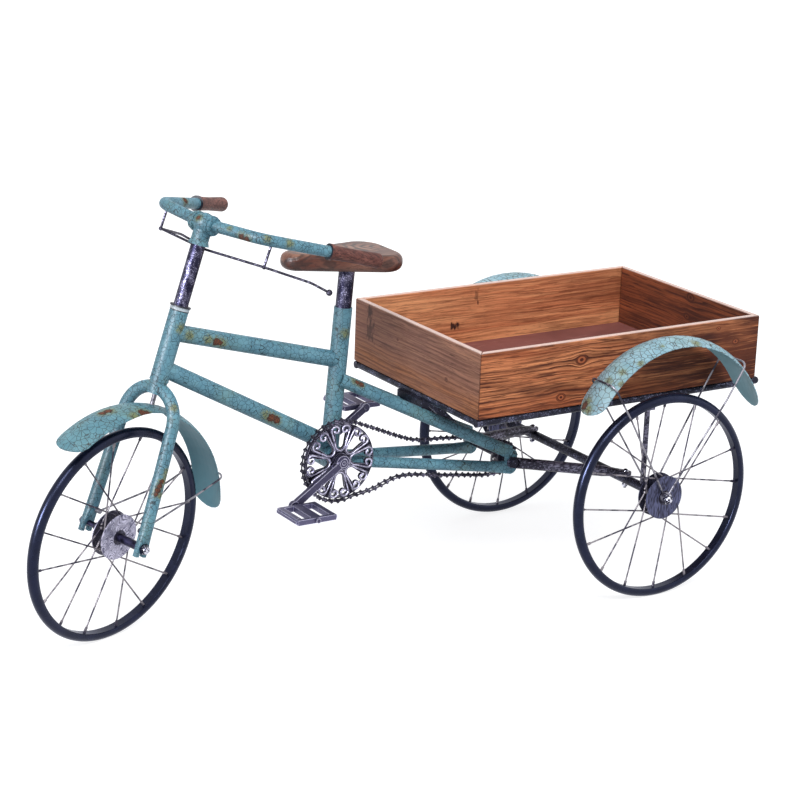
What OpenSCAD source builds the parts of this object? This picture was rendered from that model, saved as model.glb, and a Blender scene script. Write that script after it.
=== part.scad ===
// Bicycle planter: half of a bicycle in front, welded and bolted to a two-wheeled
// cart that carries an open wooden tray for pots. X runs along the planter with the
// steered wheel at low X, Y points away from the chain side, Z is up from the ground.
// Millimetres. The steering rests turned a little to the chain side.

/* [Wheels] */
// Outer radius of all three wheels
wheel_r = 190; // [175:1:205]
// Distance between the front and rear axles
wheelbase = 957; // [940:1:990]
// Width of a wheel hoop
hoop_w = 20; // [16:1:24]
// Radial depth of a wheel hoop
hoop_depth = 15.5; // [12:1:18]
// Spokes in each wheel
spoke_n = 16; // [8:8:16]
// Diameter of the spoke wire
spoke_d = 2.8; // [2:0.1:3]
// Radius of the two hub discs
flange_r = 40; // [36:1:46]
// Width of a hub over its two discs
hub_w = 26; // [24:1:30]
// Diameter of the axle rods
axle_d = 10; // [8:0.5:12]

/* [Steering] */
// Lean of the steering axis from upright
head_tilt = 17.5; // [15:0.5:20]
// Rest angle of the steering, towards the chain side
steer = 19; // [0:1:20]
// Lower end of the head tube, up the steering axis from the front axle
head_low = 272; // [268:1:280]
// Upper end of the head tube, up the steering axis
head_high = 403; // [380:1:420]
// Outer diameter of the head tube
head_d = 32; // [30:1:36]
// Diameter of the stem and of the steerer inside the head tube
stem_d = 25; // [22:0.5:26]
// Middle of the handlebar clamp, up the steering axis
clamp_h = 544; // [530:1:560]
// Outer diameter of the fork tubes
fork_d = 22; // [20:0.5:24]
// Radius of the bend that forms the fork crown
crown_r = 57; // [55:1:60]
// Half distance between the fork legs at the axle
fork_half = 66; // [64:1:72]

/* [Handlebar] */
// Outer diameter of the handlebar tube
bar_d = 19.5; // [18:0.5:21]
// Reach of each half sideways before it bends back
bar_half = 116; // [110:1:135]
// Distance the grips reach back behind the steering axis
bar_back = 242; // [200:1:245]
// Half distance between the grip ends
grip_half = 184; // [165:1:190]
// Radius of the two bends
bar_bend_r = 35; // [30:1:45]
// Length of a wooden grip
grip_len = 108; // [90:1:120]
// Outer diameter of a wooden grip
grip_d = 26; // [24:0.5:30]
// Diameter of the brake rod
rod_d = 4.4; // [3:0.2:5]

/* [Bicycle frame] */
// Outer diameter of the top and down tubes
frame_d = 29; // [26:0.5:30]
// Outer diameter of the seat tube
seat_tube_d = 31.8; // [31:0.2:34]
// Wall of the frame tubes
tube_wall = 1.8; // [1.2:0.1:2]
// Crank axis behind the origin (negative is ahead of it)
bb_x = -98; // [-102:1:-94]
// Height of the crank axis above the ground
bb_z = 270; // [266:1:276]
// Lean of the seat tube from upright
seat_lean = 4.5; // [3:0.5:6]
// Length of the seat tube above the crank axis
seat_tube_len = 267; // [255:1:280]
// Diameter of the seat post
post_d = 28; // [26:0.2:28]
// Height of the saddle's underside above the ground
saddle_z = 603; // [595:1:620]
// Thickness of the wooden saddle
saddle_t = 30; // [26:1:34]
// Outer diameter of the two seat stays
seat_stay_d = 23; // [20:0.5:23.5]
// Outer diameter of the two chain stays
chain_stay_d = 20; // [17:0.5:21]
// Rear axle of the bicycle half, along X
drop_x = 246; // [240:1:252]
// Rear axle of the bicycle half, above the ground
drop_z = 227; // [223:1:231]
// Half distance between the dropout plates
drop_half = 65; // [63:1:68]

/* [Drive] */
// Pitch of the chain
chain_pitch = 12.7; // [12.7:0.1:12.7]
// Teeth that the chainring stands for
ring_teeth = 36; // [35:1:37]
// Teeth that the rear sprocket stands for
sprocket_teeth = 14; // [13:1:15]
// Scrolled hearts in the chainring
heart_n = 8; // [6:1:9]
// Length of a crank arm between its axes
crank_len = 119; // [105:1:125]
// Angle of the chain-side crank arm below the line to the front
crank_angle = 29.5; // [0:0.5:45]
// Length of a pedal along X at rest
pedal_l = 80; // [60:1:84]
// Width of a pedal along its pin
pedal_w = 74; // [60:1:80]
// Thickness of a pedal
pedal_t = 9.5; // [9:0.5:12]

/* [Cart] */
// Gap between the tray's side and the rear fender beside it
fender_gap = 12; // [8:1:20]
// Diameter of the rear axle beam
beam_d = 17; // [15:0.5:20]
// Diameter of the rails and bars of the tray
rail_d = 14; // [12:0.5:16]
// Outer diameter of the two drawbars
drawbar_d = 20; // [16:0.5:22]

/* [Tray] */
// Outer length of the wooden box
box_l = 612; // [600:1:640]
// Outer width of the wooden box
box_w = 414; // [400:1:416]
// Height of the box boards
box_h = 119; // [100:1:150]
// Thickness of the box boards
board_t = 12; // [10:0.5:20]
// Thickness of the floor panel
floor_t = 8; // [5:0.5:12]
// Height of the underside of the box above the ground
box_z = 368; // [364:1:376]
// Front face of the box, along X
box_x = 73; // [68:1:80]

/* [Fenders] */
// Radius of the crest of the front fender
front_fender_r = 230; // [222:1:234]
// Radius of the crest of a rear fender
rear_fender_r = 204; // [198:1:210]
// Height of a rear fender's centre above the axle
rear_fender_up = 90; // [80:1:95]
// Width of a fender
fender_w = 66; // [56:1:68]
// Rise of the fender's crest above its edges
fender_crown = 9; // [5:0.5:12]
// Thickness of the fender sheet
fender_t = 1.6; // [1.2:0.1:2.4]
// Diameter of the fender stay wire
wire_d = 3.4; // [2.6:0.2:4]

/* [Hidden] */

// Finish colours
paint = [0.45, 0.66, 0.68];
dark_metal = [0.25, 0.25, 0.29];
hoop_blue = [0.13, 0.14, 0.22];
bright = [0.72, 0.72, 0.75];
antique = [0.42, 0.41, 0.44];
pine = [0.70, 0.42, 0.24];
walnut = [0.45, 0.28, 0.20];

// Running clearance between a turning piece and its shaft, on the radius
run_fit = 0.05;
// Gap between faces that turn past each other
side_gap = 0.4;
// Clearance of a seated or pushed-in piece, on the radius
seat_fit = 0.1;
// Overshoot of a cut past the face it opens
over = 1;
round_fn = 64;
wire_fn = 24;

front_x = -512;
rear_x = front_x + wheelbase;
// Distance between the middles of the two rear wheels
track = box_w + 2 * fender_gap + fender_w;
front_z = wheel_r * sqrt(pow(cos(head_tilt), 2) + pow(sin(head_tilt) * cos(steer), 2));
rim_r = wheel_r - hoop_depth;

// A point up the steering axis, and one up the seat tube's axis
function axis_at(h) = [front_x + h * sin(head_tilt), 0, front_z + h * cos(head_tilt)];
function seat_at(s) = [bb_x + s * sin(seat_lean), 0, bb_z + s * cos(seat_lean)];
function mix(a, b, t) = a + (b - a) * t;
function unit(v) = v / norm(v);
function mirror_y(p) = [p[0], -p[1], p[2]];

// Local frame of the steered pieces: X back, Y away from the chain side, Z up the axis
module at_steering() {
    translate(axis_at(0))
        rotate([0, head_tilt, 0])
            rotate([0, 0, steer])
                children();
}

// A solid round bar between two points, or grown past them by ext
module bar(a, b, d, ext = 0, fn = round_fn) {
    v = b - a;
    len = norm(v);
    translate(a)
        rotate([0, acos(v[2] / len), atan2(v[1], v[0])])
            translate([0, 0, -ext])
                cylinder(h = len + 2 * ext, d = d, $fn = fn);
}

// A hollow tube between two points
module pipe(a, b, d, wall, ext = 0) {
    difference() {
        bar(a, b, d, ext);
        bar(a, b, d - 2 * wall, ext + over);
    }
}

// The tangent length of a bend of radius r at the middle of three points
function turn(a, b, c) = acos(max(-1, min(1, unit(b - a) * unit(c - b))));
function tangent(a, b, c, r) = r * tan(turn(a, b, c) / 2);

// Growth of a bend's diameter, and how far the straights run into it
bend_swell = 0.1;
bend_lap = 0.5;

// A round wire through points, with a bend of its own radius at each inner point
module wire(p, r, d, fn = wire_fn) {
    last = len(p) - 1;
    cut = [for (i = [0:last]) i == 0 || i == last ? 0 : tangent(p[i - 1], p[i], p[i + 1], r[i]) - bend_lap];
    for (i = [0:last - 1]) {
        dir = unit(p[i + 1] - p[i]);
        bar(p[i] + dir * cut[i], p[i + 1] - dir * cut[i + 1], d, 0, fn);
    }
    for (i = [1:last - 1])
        wire_bend(p[i - 1], p[i], p[i + 1], r[i], d + bend_swell, fn);
}

module wire_bend(a, b, c, r, d, fn) {
    angle = turn(a, b, c);
    d1 = unit(b - a);
    d2 = unit(c - b);
    inward = unit(d2 - d1 * (d1 * d2));
    start = b - d1 * r * tan(angle / 2);
    centre = start + inward * r;
    ex = -inward;
    ez = cross(ex, d1);
    multmatrix([
        [ex[0], d1[0], ez[0], centre[0]],
        [ex[1], d1[1], ez[1], centre[1]],
        [ex[2], d1[2], ez[2], centre[2]],
        [0, 0, 0, 1]
    ])
        rotate_extrude(angle = angle, $fn = 96)
            translate([r, 0])
                circle(d = d, $fn = fn);
}

// A plate with two round ends, standing in the X-Z plane, middle at y
module capsule_plate(a, b, d, y, t) {
    span = norm(b - a);
    translate([a[0], y + t / 2, a[1]])
        rotate([90, 0, 0])
            rotate([0, 0, atan2(b[1] - a[1], b[0] - a[0])]) {
                cylinder(h = t, d = d, $fn = round_fn);
                translate([span, 0, 0])
                    cylinder(h = t, d = d, $fn = round_fn);
                translate([0, -d / 2, 0])
                    cube([span, d, t]);
            }
}

// A cylinder along Y from y0 to y1 at a point of the X-Z plane
module pin(x, z, y0, y1, d, fn = round_fn) {
    translate([x, min(y0, y1), z])
        rotate([-90, 0, 0])
            cylinder(h = abs(y1 - y0), d = d, $fn = fn);
}

// Bicycle frame

head_bore = stem_d + 2 * run_fit;
collar_h = 2.2;
collar_d = head_d + 4;
band_h = 9;
band_d = head_d + 1;

module head_tube() {
    color(paint)
        difference() {
            union() {
                bar(axis_at(head_low), axis_at(head_high), head_d);
                bar(axis_at(head_high - collar_h), axis_at(head_high), collar_d);
                bar(axis_at(head_high - band_h), axis_at(head_high), band_d);
                bar(axis_at(head_low), axis_at(head_low + collar_h), band_d);
            }
            bar(axis_at(head_low), axis_at(head_high), head_bore, over);
        }
}

// The solid space that the head tube and the seat tube take, for coping the tubes
module head_space() {
    bar(axis_at(head_low), axis_at(head_high), head_d, 10);
}

module seat_space() {
    bar(seat_at(0), seat_at(seat_tube_len), seat_tube_d, 10);
}

shell_d = 44;
shell_half = 28;

module shell_space() {
    pin(bb_x, bb_z, -shell_half - over, shell_half + over, shell_d);
}

top_tube_h = head_high - 47;
top_tube_s = 173;
down_tube_h = head_low + 22;
down_tube_s = 20;

module top_tube() {
    color(paint)
        difference() {
            pipe(axis_at(top_tube_h), seat_at(top_tube_s), frame_d, tube_wall);
            head_space();
            seat_space();
        }
}

module down_tube() {
    color(paint)
        difference() {
            pipe(axis_at(down_tube_h), seat_at(down_tube_s), frame_d, tube_wall);
            head_space();
            seat_space();
            shell_space();
        }
}

module seat_tube() {
    color(paint)
        difference() {
            bar(seat_at(0), seat_at(seat_tube_len), seat_tube_d);
            bar(seat_at(0), seat_at(seat_tube_len), post_d + 2 * seat_fit, over);
            shell_space();
        }
}

spindle_d = 16;

module bottom_bracket() {
    color(paint)
        difference() {
            pin(bb_x, bb_z, -shell_half, shell_half, shell_d);
            pin(bb_x, bb_z, -shell_half - over, shell_half + over, spindle_d + 2 * run_fit);
        }
}

post_depth = 90;

module seat_post() {
    top_s = (saddle_z - bb_z) / cos(seat_lean);
    color(dark_metal)
        difference() {
            bar(seat_at(seat_tube_len - post_depth), seat_at(top_s + 20), post_d);
            at_saddle()
                translate([bb_x - 100, -post_d, saddle_z])
                    cube([250, 2 * post_d, 100]);
            bar(seat_at(seat_tube_len - post_depth), seat_at(top_s - 10), post_d - 8, over);
        }
}

saddle_nose_x = bb_x - 103;
saddle_tail_x = 16;
saddle_nose_r = 27;
saddle_tail_r = 42;
saddle_half_w = 68;
saddle_edge = 13;

saddle_pitch = 3;

// The saddle's own frame: it pitches nose up about its tail
module at_saddle() {
    translate([saddle_tail_x, 0, saddle_z])
        rotate([0, saddle_pitch, 0])
            translate([-saddle_tail_x, 0, -saddle_z])
                children();
}

// A thick disc whose rim is rounded over
module pebble(x, y, r) {
    edge = min(saddle_edge, saddle_t / 2 - 1);
    translate([x, y, saddle_z])
        rotate_extrude($fn = 40) {
            square([r - edge, saddle_t]);
            for (z = [edge, saddle_t - edge])
                translate([r - edge, z])
                    circle(r = edge, $fn = 24);
            translate([0, edge])
                square([r, saddle_t - 2 * edge]);
        }
}

module saddle() {
    color(walnut)
        at_saddle()
        hull() {
            pebble(saddle_nose_x + saddle_nose_r, 0, saddle_nose_r);
            pebble(saddle_tail_x - saddle_tail_r, saddle_half_w - saddle_tail_r, saddle_tail_r);
            pebble(saddle_tail_x - saddle_tail_r, saddle_tail_r - saddle_half_w, saddle_tail_r);
        }
}

stay_top = [seat_at(140)[0], 13, seat_at(140)[2]];
stay_low = [drop_x, drop_half, drop_z + 17];
chain_stay_start = [bb_x, 12, bb_z - 6];
chain_stay_end = [drop_x, drop_half, drop_z - 11];
plate_t = 6;
plate_d = 24;
flat_len = 42;
// How much slimmer a flattened end starts, inside its tube's wall
hull_step = 0.3;

// A tube that flattens to a tongue of the dropout plate's thickness
module flattened_stay(a, b, d) {
    dir = unit(b - a);
    knee = b - dir * flat_len;
    pipe(a, knee, d, tube_wall);
    hull() {
        bar(knee - dir * 4, knee, d - hull_step, 0, 48);
        translate(b)
            cube([2, plate_t, d + 3], center = true);
    }
}

module dropout_plate() {
    capsule_plate([drop_x, drop_z - 10], [drop_x, drop_z + 12], plate_d, drop_half, plate_t);
}

// The place of the drawbar's tongue, outside a dropout plate
module tongue_space() {
    pin(drop_x, drop_z, drop_half + plate_t / 2, drop_half + plate_t / 2 + 20, 26);
}

module seat_stay() {
    difference() {
        flattened_stay(stay_top, stay_low, seat_stay_d);
        seat_space();
        dropout_plate();
        jackshaft_space();
        tongue_space();
    }
}

module chain_stay() {
    difference() {
        union() {
            flattened_stay(chain_stay_start, chain_stay_end, chain_stay_d);
            dropout_plate();
        }
        shell_space();
        seat_space();
        jackshaft_space();
        tongue_space();
    }
}

module near_side() {
    mirror([0, 1, 0])
        children();
}

module seat_stay_far() {
    color(paint)
        seat_stay();
}

module seat_stay_near() {
    color(paint)
        near_side()
            seat_stay();
}

module chain_stay_far() {
    color(paint)
        chain_stay();
}

module chain_stay_near() {
    color(paint)
        near_side()
            chain_stay();
}

shaft_d = 10;
tongue_t = 5;

module jackshaft_space() {
    pin(drop_x, drop_z, -drop_half - 20, drop_half + 20, shaft_d);
}

// The bolt through both dropouts, on which the rear sprocket turns
module jackshaft() {
    reach = drop_half + plate_t / 2 + tongue_t;
    color(dark_metal) {
        pin(drop_x, drop_z, -reach - 5, reach + 5, shaft_d);
        for (side = [-1, 1])
            difference() {
                pin(drop_x, drop_z, side * reach, side * (reach + 6), 17, 6);
                pin(drop_x, drop_z, side * (reach - over), side * (reach + 5), shaft_d);
            }
    }
}

// Cart under the tray

beam_half = track / 2 - 30;
rail_z = box_z - rail_d / 2;
rail_y = box_w / 2 - rail_d / 2;
drawbar_y = 148;
bolt_d = 6;

module axle_beam() {
    color(dark_metal)
        difference() {
            pin(rear_x, wheel_r, -beam_half, beam_half, beam_d);
            pin(rear_x, wheel_r, -beam_half - over, beam_half + over, axle_d + 2 * seat_fit);
            for (side = [-1, 1])
                stud_space(side);
        }
}

// The blind holes above and below the axle rod, for a drawbar's two studs
module stud_space(side) {
    depth = axle_d / 2 + 1.2;
    for (low = [wheel_r + depth, wheel_r - depth - beam_d])
        translate([rear_x, side * drawbar_y, low])
            cylinder(h = beam_d, d = bolt_d, $fn = wire_fn);
}

eyelet_t = 2.2;
eyelet_d = 23;
washer_t = 1.5;
nut_w = 17;
nut_h = 5;
hub_out = track / 2 + hub_w / 2;
eyelet_out = hub_out + side_gap + washer_t;
nut_y = eyelet_out + 2 * eyelet_t;

module rear_axle() {
    color(dark_metal)
        pin(rear_x, wheel_r, -nut_y - nut_h, nut_y + nut_h, axle_d);
}

// A domed nut on an axle along Y, from y outwards
module domed_nut(x, z, y) {
    side = sign(y);
    difference() {
        union() {
            pin(x, z, y, y + side * nut_h, nut_w * 2 / sqrt(3), 6);
            translate([x, y + side * nut_h, z])
                sphere(d = nut_w - 2, $fn = 32);
        }
        pin(x, z, y - side * over, y + side * nut_h, axle_d);
        pin(x, z, y - side * nut_w, y, 3 * nut_w);
    }
}

// Washers against the hubs are one group with their nuts
module rear_axle_nuts() {
    color(bright)
        for (side = [-1, 1]) {
            domed_nut(rear_x, wheel_r, side * nut_y);
            difference() {
                pin(rear_x, wheel_r, side * (hub_out + side_gap), side * eyelet_out, eyelet_d - 4);
                pin(rear_x, wheel_r, side * hub_out, side * (eyelet_out + over), axle_d);
            }
        }
}

tongue_top = wheel_r + beam_d / 2 + tongue_t;
// Room round a nut that is sunk into a flattened end
nut_space_d = 21;

// A drawbar: bolted beside the dropout in front, on top of the axle beam behind
module drawbar() {
    front_y = drop_half + plate_t / 2 + tongue_t / 2;
    front = [drop_x, front_y, drop_z];
    rear = [rear_x, drawbar_y, tongue_top - tongue_t / 2];
    dir = unit(rear - front);
    knee_a = front + dir * 34;
    knee_b = rear - dir * 44;
    difference() {
        union() {
            pipe(knee_a, knee_b, drawbar_d, tube_wall);
            hull() {
                bar(knee_a, knee_a + dir * 4, drawbar_d - hull_step, 0, 48);
                pin(drop_x, drop_z, front_y - tongue_t / 2, front_y + tongue_t / 2, 20, 32);
            }
            hull() {
                bar(knee_b - dir * 4, knee_b, drawbar_d - hull_step, 0, 48);
                translate(rear - [0, 0, tongue_t / 2])
                    cylinder(h = tongue_t, d = 22, $fn = 32);
            }
        }
        jackshaft_space();
        pin(drop_x, drop_z, front_y + tongue_t / 2, front_y + 30, nut_space_d);
        stud_space(1);
        translate(rear + [0, 0, tongue_t / 2])
            cylinder(h = 30, d = 15, $fn = wire_fn);
        pin(rear_x, wheel_r, 0, beam_half, beam_d);
    }
}

module drawbar_far() {
    color(dark_metal)
        drawbar();
}

module drawbar_near() {
    color(dark_metal)
        near_side()
            drawbar();
}

strut_d = 10;

// Two posts from the axle beam up to the side rails, flared where they meet the rails
module tray_struts() {
    foot = wheel_r;
    color(dark_metal)
        for (side = [-1, 1])
            difference() {
                union() {
                    bar([rear_x, side * rail_y, foot], [rear_x, side * rail_y, rail_z], strut_d);
                    translate([rear_x - 16, side * rail_y - 2, rail_z - 26])
                        cube([32, 4, 26]);
                }
                for (end = [-1, 1])
                    translate([rear_x + end * 16, side * rail_y, rail_z - 26])
                        rotate([0, end * 32, 0])
                            translate([-12 + end * 12, -5, -20])
                                cube([24, 10, 60]);
                pin(rear_x, wheel_r, -beam_half, beam_half, beam_d);
                tray_rail(side);
            }
}

rail_front = box_x;
rail_back = box_x + box_l + 13;

// A side rail with a domed rear end
module tray_rail(side) {
    y = side * rail_y;
    bar([rail_front, y, rail_z], [rail_back - rail_d / 2, y, rail_z], rail_d);
    translate([rail_back - rail_d / 2, y, rail_z])
        sphere(d = rail_d, $fn = 32);
}

module tray_rail_near() {
    color(dark_metal)
        tray_rail(-1);
}

module tray_rail_far() {
    color(dark_metal)
        tray_rail(1);
}

// A bar across the tray between the side rails, coped to them
module cross_bar(x) {
    difference() {
        bar([x, -rail_y, rail_z], [x, rail_y, rail_z], rail_d);
        tray_rail(-1);
        tray_rail(1);
    }
}

front_bar_x = box_x + rail_d / 2;
strap_w = 14;
strap_t = 4;

module tray_front_bar() {
    color(dark_metal)
        cross_bar(front_bar_x);
}

module tray_crossbars() {
    color(dark_metal)
        for (x = [box_x + box_l * 0.34, box_x + box_l * 0.67, box_x + box_l - rail_d / 2])
            cross_bar(x);
}

strap_share = 0.72;
strap_on_stay = mix(stay_top, stay_low, strap_share);
strap_bolt_y = strap_on_stay[1] - seat_stay_d / 2 / sqrt(1 - pow(unit(stay_low - stay_top)[1], 2)) - seat_fit;

// A flat strap from the front bar down and back to the inner side of each seat stay
module strap() {
    y = strap_bolt_y - strap_t;
    head = [front_bar_x + 5, rail_z - 8];
    foot = [strap_on_stay[0], strap_on_stay[2]];
    difference() {
        capsule_plate(head, foot, strap_w, y + strap_t / 2, strap_t);
        bar(stay_top, stay_low, seat_stay_d + 2 * seat_fit);
        bar([front_bar_x, -rail_y, rail_z], [front_bar_x, rail_y, rail_z], rail_d);
        pin(foot[0], foot[1], y - over, y + strap_t + over, bolt_d);
    }
}

bridge_l = 14;
bridge_w = 84;
bridge_h = 14;

// A block welded behind the front bar, coped to the tops of both seat stays
module bridge() {
    difference() {
        translate([front_bar_x - bridge_l, -bridge_w / 2, rail_z - bridge_h - 2])
            cube([bridge_l, bridge_w, bridge_h]);
        bar([front_bar_x, -rail_y, rail_z], [front_bar_x, rail_y, rail_z], rail_d);
        bar(stay_top, stay_low, seat_stay_d);
        bar(mirror_y(stay_top), mirror_y(stay_low), seat_stay_d);
    }
}

module tray_straps() {
    color(dark_metal) {
        bridge();
        strap();
        near_side()
            strap();
    }
}

// A round-headed bolt of length l, from the origin along +Z, its head below
module bolt(l) {
    cylinder(h = l, d = bolt_d, $fn = wire_fn);
    difference() {
        sphere(d = 2 * bolt_d, $fn = 32);
        translate([-bolt_d * 2, -bolt_d * 2, 0])
            cube(bolt_d * 4);
    }
}

// Bolts of the straps and of the drawbars, with the nuts under the beam
module stay_bolts() {
    color(bright)
        for (side = [-1, 1]) {
            translate([strap_on_stay[0], side * (strap_bolt_y - strap_t), strap_on_stay[2]])
                rotate([side * -90, 0, 0])
                    bolt(strap_t - 0.6);
            translate([rear_x, side * drawbar_y, tongue_top])
                rotate([180, 0, 0])
                    bolt(tongue_top - wheel_r - axle_d / 2 - 1.2);
            translate([rear_x, side * drawbar_y, wheel_r - beam_d / 2 - 5])
                union() {
                    difference() {
                        cylinder(h = 9, d = 11, $fn = 6);
                        translate([0, 0, 5 + beam_d / 2])
                            rotate([90, 0, 0])
                                cylinder(h = 30, d = beam_d, center = true, $fn = round_fn);
                    }
                    translate([0, 0, -3])
                        cylinder(h = 8 + beam_d / 2 - axle_d / 2 - 1.2, d = bolt_d, $fn = wire_fn);
                }
        }
}

// Wooden tray

// A board of the box with mitred ends: a and b are its outer corners, seen from above,
// and the board's inner face lies to the left of the way from a to b
module mitred_board(a, b) {
    along = unit(b - a);
    inner = [-along[1], along[0]];
    translate([0, 0, box_z])
        linear_extrude(box_h)
            polygon([a, b, b + (inner - along) * board_t, a + (inner + along) * board_t]);
}

box_corners = [
    [box_x, -box_w / 2], [box_x + box_l, -box_w / 2],
    [box_x + box_l, box_w / 2], [box_x, box_w / 2]
];

module board_near() {
    color(pine)
        mitred_board(box_corners[0], box_corners[1]);
}

module board_rear() {
    color(pine)
        mitred_board(box_corners[1], box_corners[2]);
}

module board_far() {
    color(pine)
        mitred_board(box_corners[2], box_corners[3]);
}

module board_front() {
    color(pine)
        mitred_board(box_corners[3], box_corners[0]);
}

module floor_panel() {
    color([0.45, 0.28, 0.24])
        translate([box_x + board_t, -box_w / 2 + board_t, box_z])
            cube([box_l - 2 * board_t, box_w - 2 * board_t, floor_t]);
}

// Fenders

// Share of the full width at angle a: rounded tips, and a waist at waist_at
function tip(s, l) = s >= l ? 1 : sqrt(max(0, 1 - pow(1 - s / l, 2)));
function fender_share(a, a0, a1, r, tip0, tip1, waist, waist_at) =
    max(0.16, tip((a - a0) * r * PI / 180, tip0) * tip((a1 - a) * r * PI / 180, tip1))
    * (1 - waist * exp(-pow((a - waist_at) / 16, 2)));

fender_steps = 34;
fender_cols = 8;

// A crowned sheet bent round the Y axis from angle a0 to a1, crest at radius r
module fender_sheet(r, a0, a1, tip0, tip1, waist = 0, waist_at = 90) {
    per_ring = 2 * (fender_cols + 1);
    points = [
        for (i = [0:fender_steps])
            let (
                a = mix(a0, a1, (1 - cos(180 * i / fender_steps)) / 2),
                half = fender_w / 2 * fender_share(a, a0, a1, r, tip0, tip1, waist, waist_at)
            )
            for (layer = [0, 1])
                for (j = [0:fender_cols])
                    let (
                        u = layer == 0 ? j : fender_cols - j,
                        y = half * (2 * u / fender_cols - 1),
                        rr = r - fender_crown * pow(2 * y / fender_w, 2) - layer * fender_t
                    )
                    [rr * cos(a), y, rr * sin(a)]
    ];
    sides = [
        for (i = [0:fender_steps - 1])
            for (j = [0:per_ring - 1])
                let (
                    p = i * per_ring + j,
                    q = i * per_ring + (j + 1) % per_ring
                )
                each [[p, q, q + per_ring], [p, q + per_ring, p + per_ring]]
    ];
    start = [
        for (j = [0:fender_cols - 1])
            each [[j + 1, j, per_ring - 1 - j], [j + 1, per_ring - 1 - j, per_ring - 2 - j]]
    ];
    base = fender_steps * per_ring;
    finish = [for (f = start) [base + f[2], base + f[1], base + f[0]]];
    polyhedron(points, concat(sides, start, finish));
}

front_fender_from = 15;
front_fender_to = 142;
rear_fender_from = 15;
rear_fender_to = 155;
rear_fender_x = rear_x + 6;
rear_fender_z = wheel_r + rear_fender_up;

module front_fender() {
    color(paint)
        at_steering()
            fender_sheet(front_fender_r, front_fender_from, front_fender_to, 30, 27, 0.22, 92);
}

module rear_fender(side) {
    color(paint)
        translate([rear_fender_x, side * track / 2, rear_fender_z])
            fender_sheet(rear_fender_r, rear_fender_from, rear_fender_to, 62, 30);
}

module fender_near() {
    rear_fender(-1);
}

module fender_far() {
    rear_fender(1);
}

// A ring at the foot of a stay wire, round an axle along Y, from y0 to y0 + eyelet_t
module eyelet(y0) {
    difference() {
        pin(0, 0, y0, y0 + eyelet_t, eyelet_d);
        pin(0, 0, y0 - over, y0 + eyelet_t + over, axle_d);
    }
}

// A wire loop over a fender, from foot to foot. It runs at angle a from the axle and
// crosses the fender at distance reach, between -stay_y and stay_y.
module stay_wire(a, reach, foot0, foot1) {
    e = [cos(a), 0, sin(a)];
    side = [0, stay_y, 0];
    wire([
        foot0, e * (reach - 75) - side, e * reach - side,
        e * reach + side, e * (reach - 75) + side, foot1
    ], [0, 60, 14, 14, 60, 0], wire_d);
}

// A wire loop between two eyelets on the axle, the rings starting at y0 and y1
module stay_loop(a, reach, y0, y1) {
    foot = [cos(a), 0, sin(a)] * (eyelet_d / 2 - 0.8);
    mid = [0, eyelet_t / 2, 0];
    stay_wire(a, reach, foot + [0, y0, 0] + mid, foot + [0, y1, 0] + mid);
    eyelet(y0);
    eyelet(y1);
}

// Distance from the axle, along angle a, to the crest of a circle of radius r whose
// centre lies at c from the axle
function crest_reach(a, r, c) =
    let (
        e = [cos(a), sin(a)],
        b = e * c
    )
    b + sqrt(b * b - c * c + r * r);

rear_stay_angles = [122, 58];
stay_y = fender_w / 2 + wire_d / 2 + 0.4;

module rear_fender_stays() {
    c = [rear_fender_x - rear_x, rear_fender_up];
    color(dark_metal)
        for (side = [-1, 1])
            for (k = [0, 1]) {
                a = rear_stay_angles[k];
                inner = beam_half + k * eyelet_t - track / 2;
                outer = eyelet_out + k * eyelet_t - track / 2;
                reach = crest_reach(a, rear_fender_r, c) + wire_d / 2 + 0.2;
                translate([rear_x, side * track / 2, wheel_r])
                    mirror([0, side < 0 ? 1 : 0, 0])
                        stay_loop(a, reach, inner, outer);
            }
}

// Fork, stem and handlebar, in the steering's own frame

crown_z = head_low - side_gap - 0.6 - crown_r - fork_d / 2;
leg_top = [0, crown_r, crown_z];
leg_low = [0, fork_half, 0];
leg_flat = 32;
tip_t = 8;
tip_w = 25;
tip_drop = 15;
// The screw on each leg's inner side that holds the fender's wire stay
stay_foot = [4, 50.4, 25];
stay_foot_d = 9;
stay_seat_y = 58.5;

module fork_crown() {
    boss_top = head_low - side_gap;
    color(paint)
        at_steering() {
            translate([0, 0, crown_z])
                rotate([90, 0, 90])
                    rotate_extrude(angle = 180, $fn = 96)
                        translate([crown_r, 0])
                            circle(d = fork_d, $fn = 48);
            translate([0, 0, crown_z + crown_r - fork_d / 2 + 1])
                cylinder(h = boss_top - (crown_z + crown_r - fork_d / 2 + 1), d = head_d - 2, $fn = round_fn);
        }
}

module fork_leg() {
    dir = unit(leg_low - leg_top);
    knee = leg_low - dir * leg_flat;
    difference() {
        union() {
            pipe(leg_top - dir * 2, knee, fork_d, tube_wall);
            hull() {
                bar(knee - dir * 4, knee, fork_d - hull_step, 0, 48);
                translate(leg_low)
                    cube([tip_w, tip_t, 2], center = true);
            }
            translate([-tip_w / 2, fork_half - tip_t / 2, -tip_drop])
                cube([tip_w, tip_t, tip_drop]);
        }
        pin(0, 0, 0, fork_half + tip_t, axle_d);
        pin(0, 0, fork_half + tip_t / 2, fork_half + 30, nut_space_d);
        pin(stay_foot[0], stay_foot[2], 0, stay_seat_y, stay_foot_d);
        translate([-axle_d / 2, fork_half - tip_t, -tip_drop - over])
            cube([axle_d, 2 * tip_t, tip_drop + over]);
        translate([-fork_d, 0, crown_z])
            cube([2 * fork_d, 2 * crown_r, fork_d]);
    }
}

module fork_leg_far() {
    color(paint)
        at_steering()
            fork_leg();
}

module fork_leg_near() {
    color(paint)
        at_steering()
            near_side()
                fork_leg();
}

stem_top = clamp_h - bar_d / 2 - 4;

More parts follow.
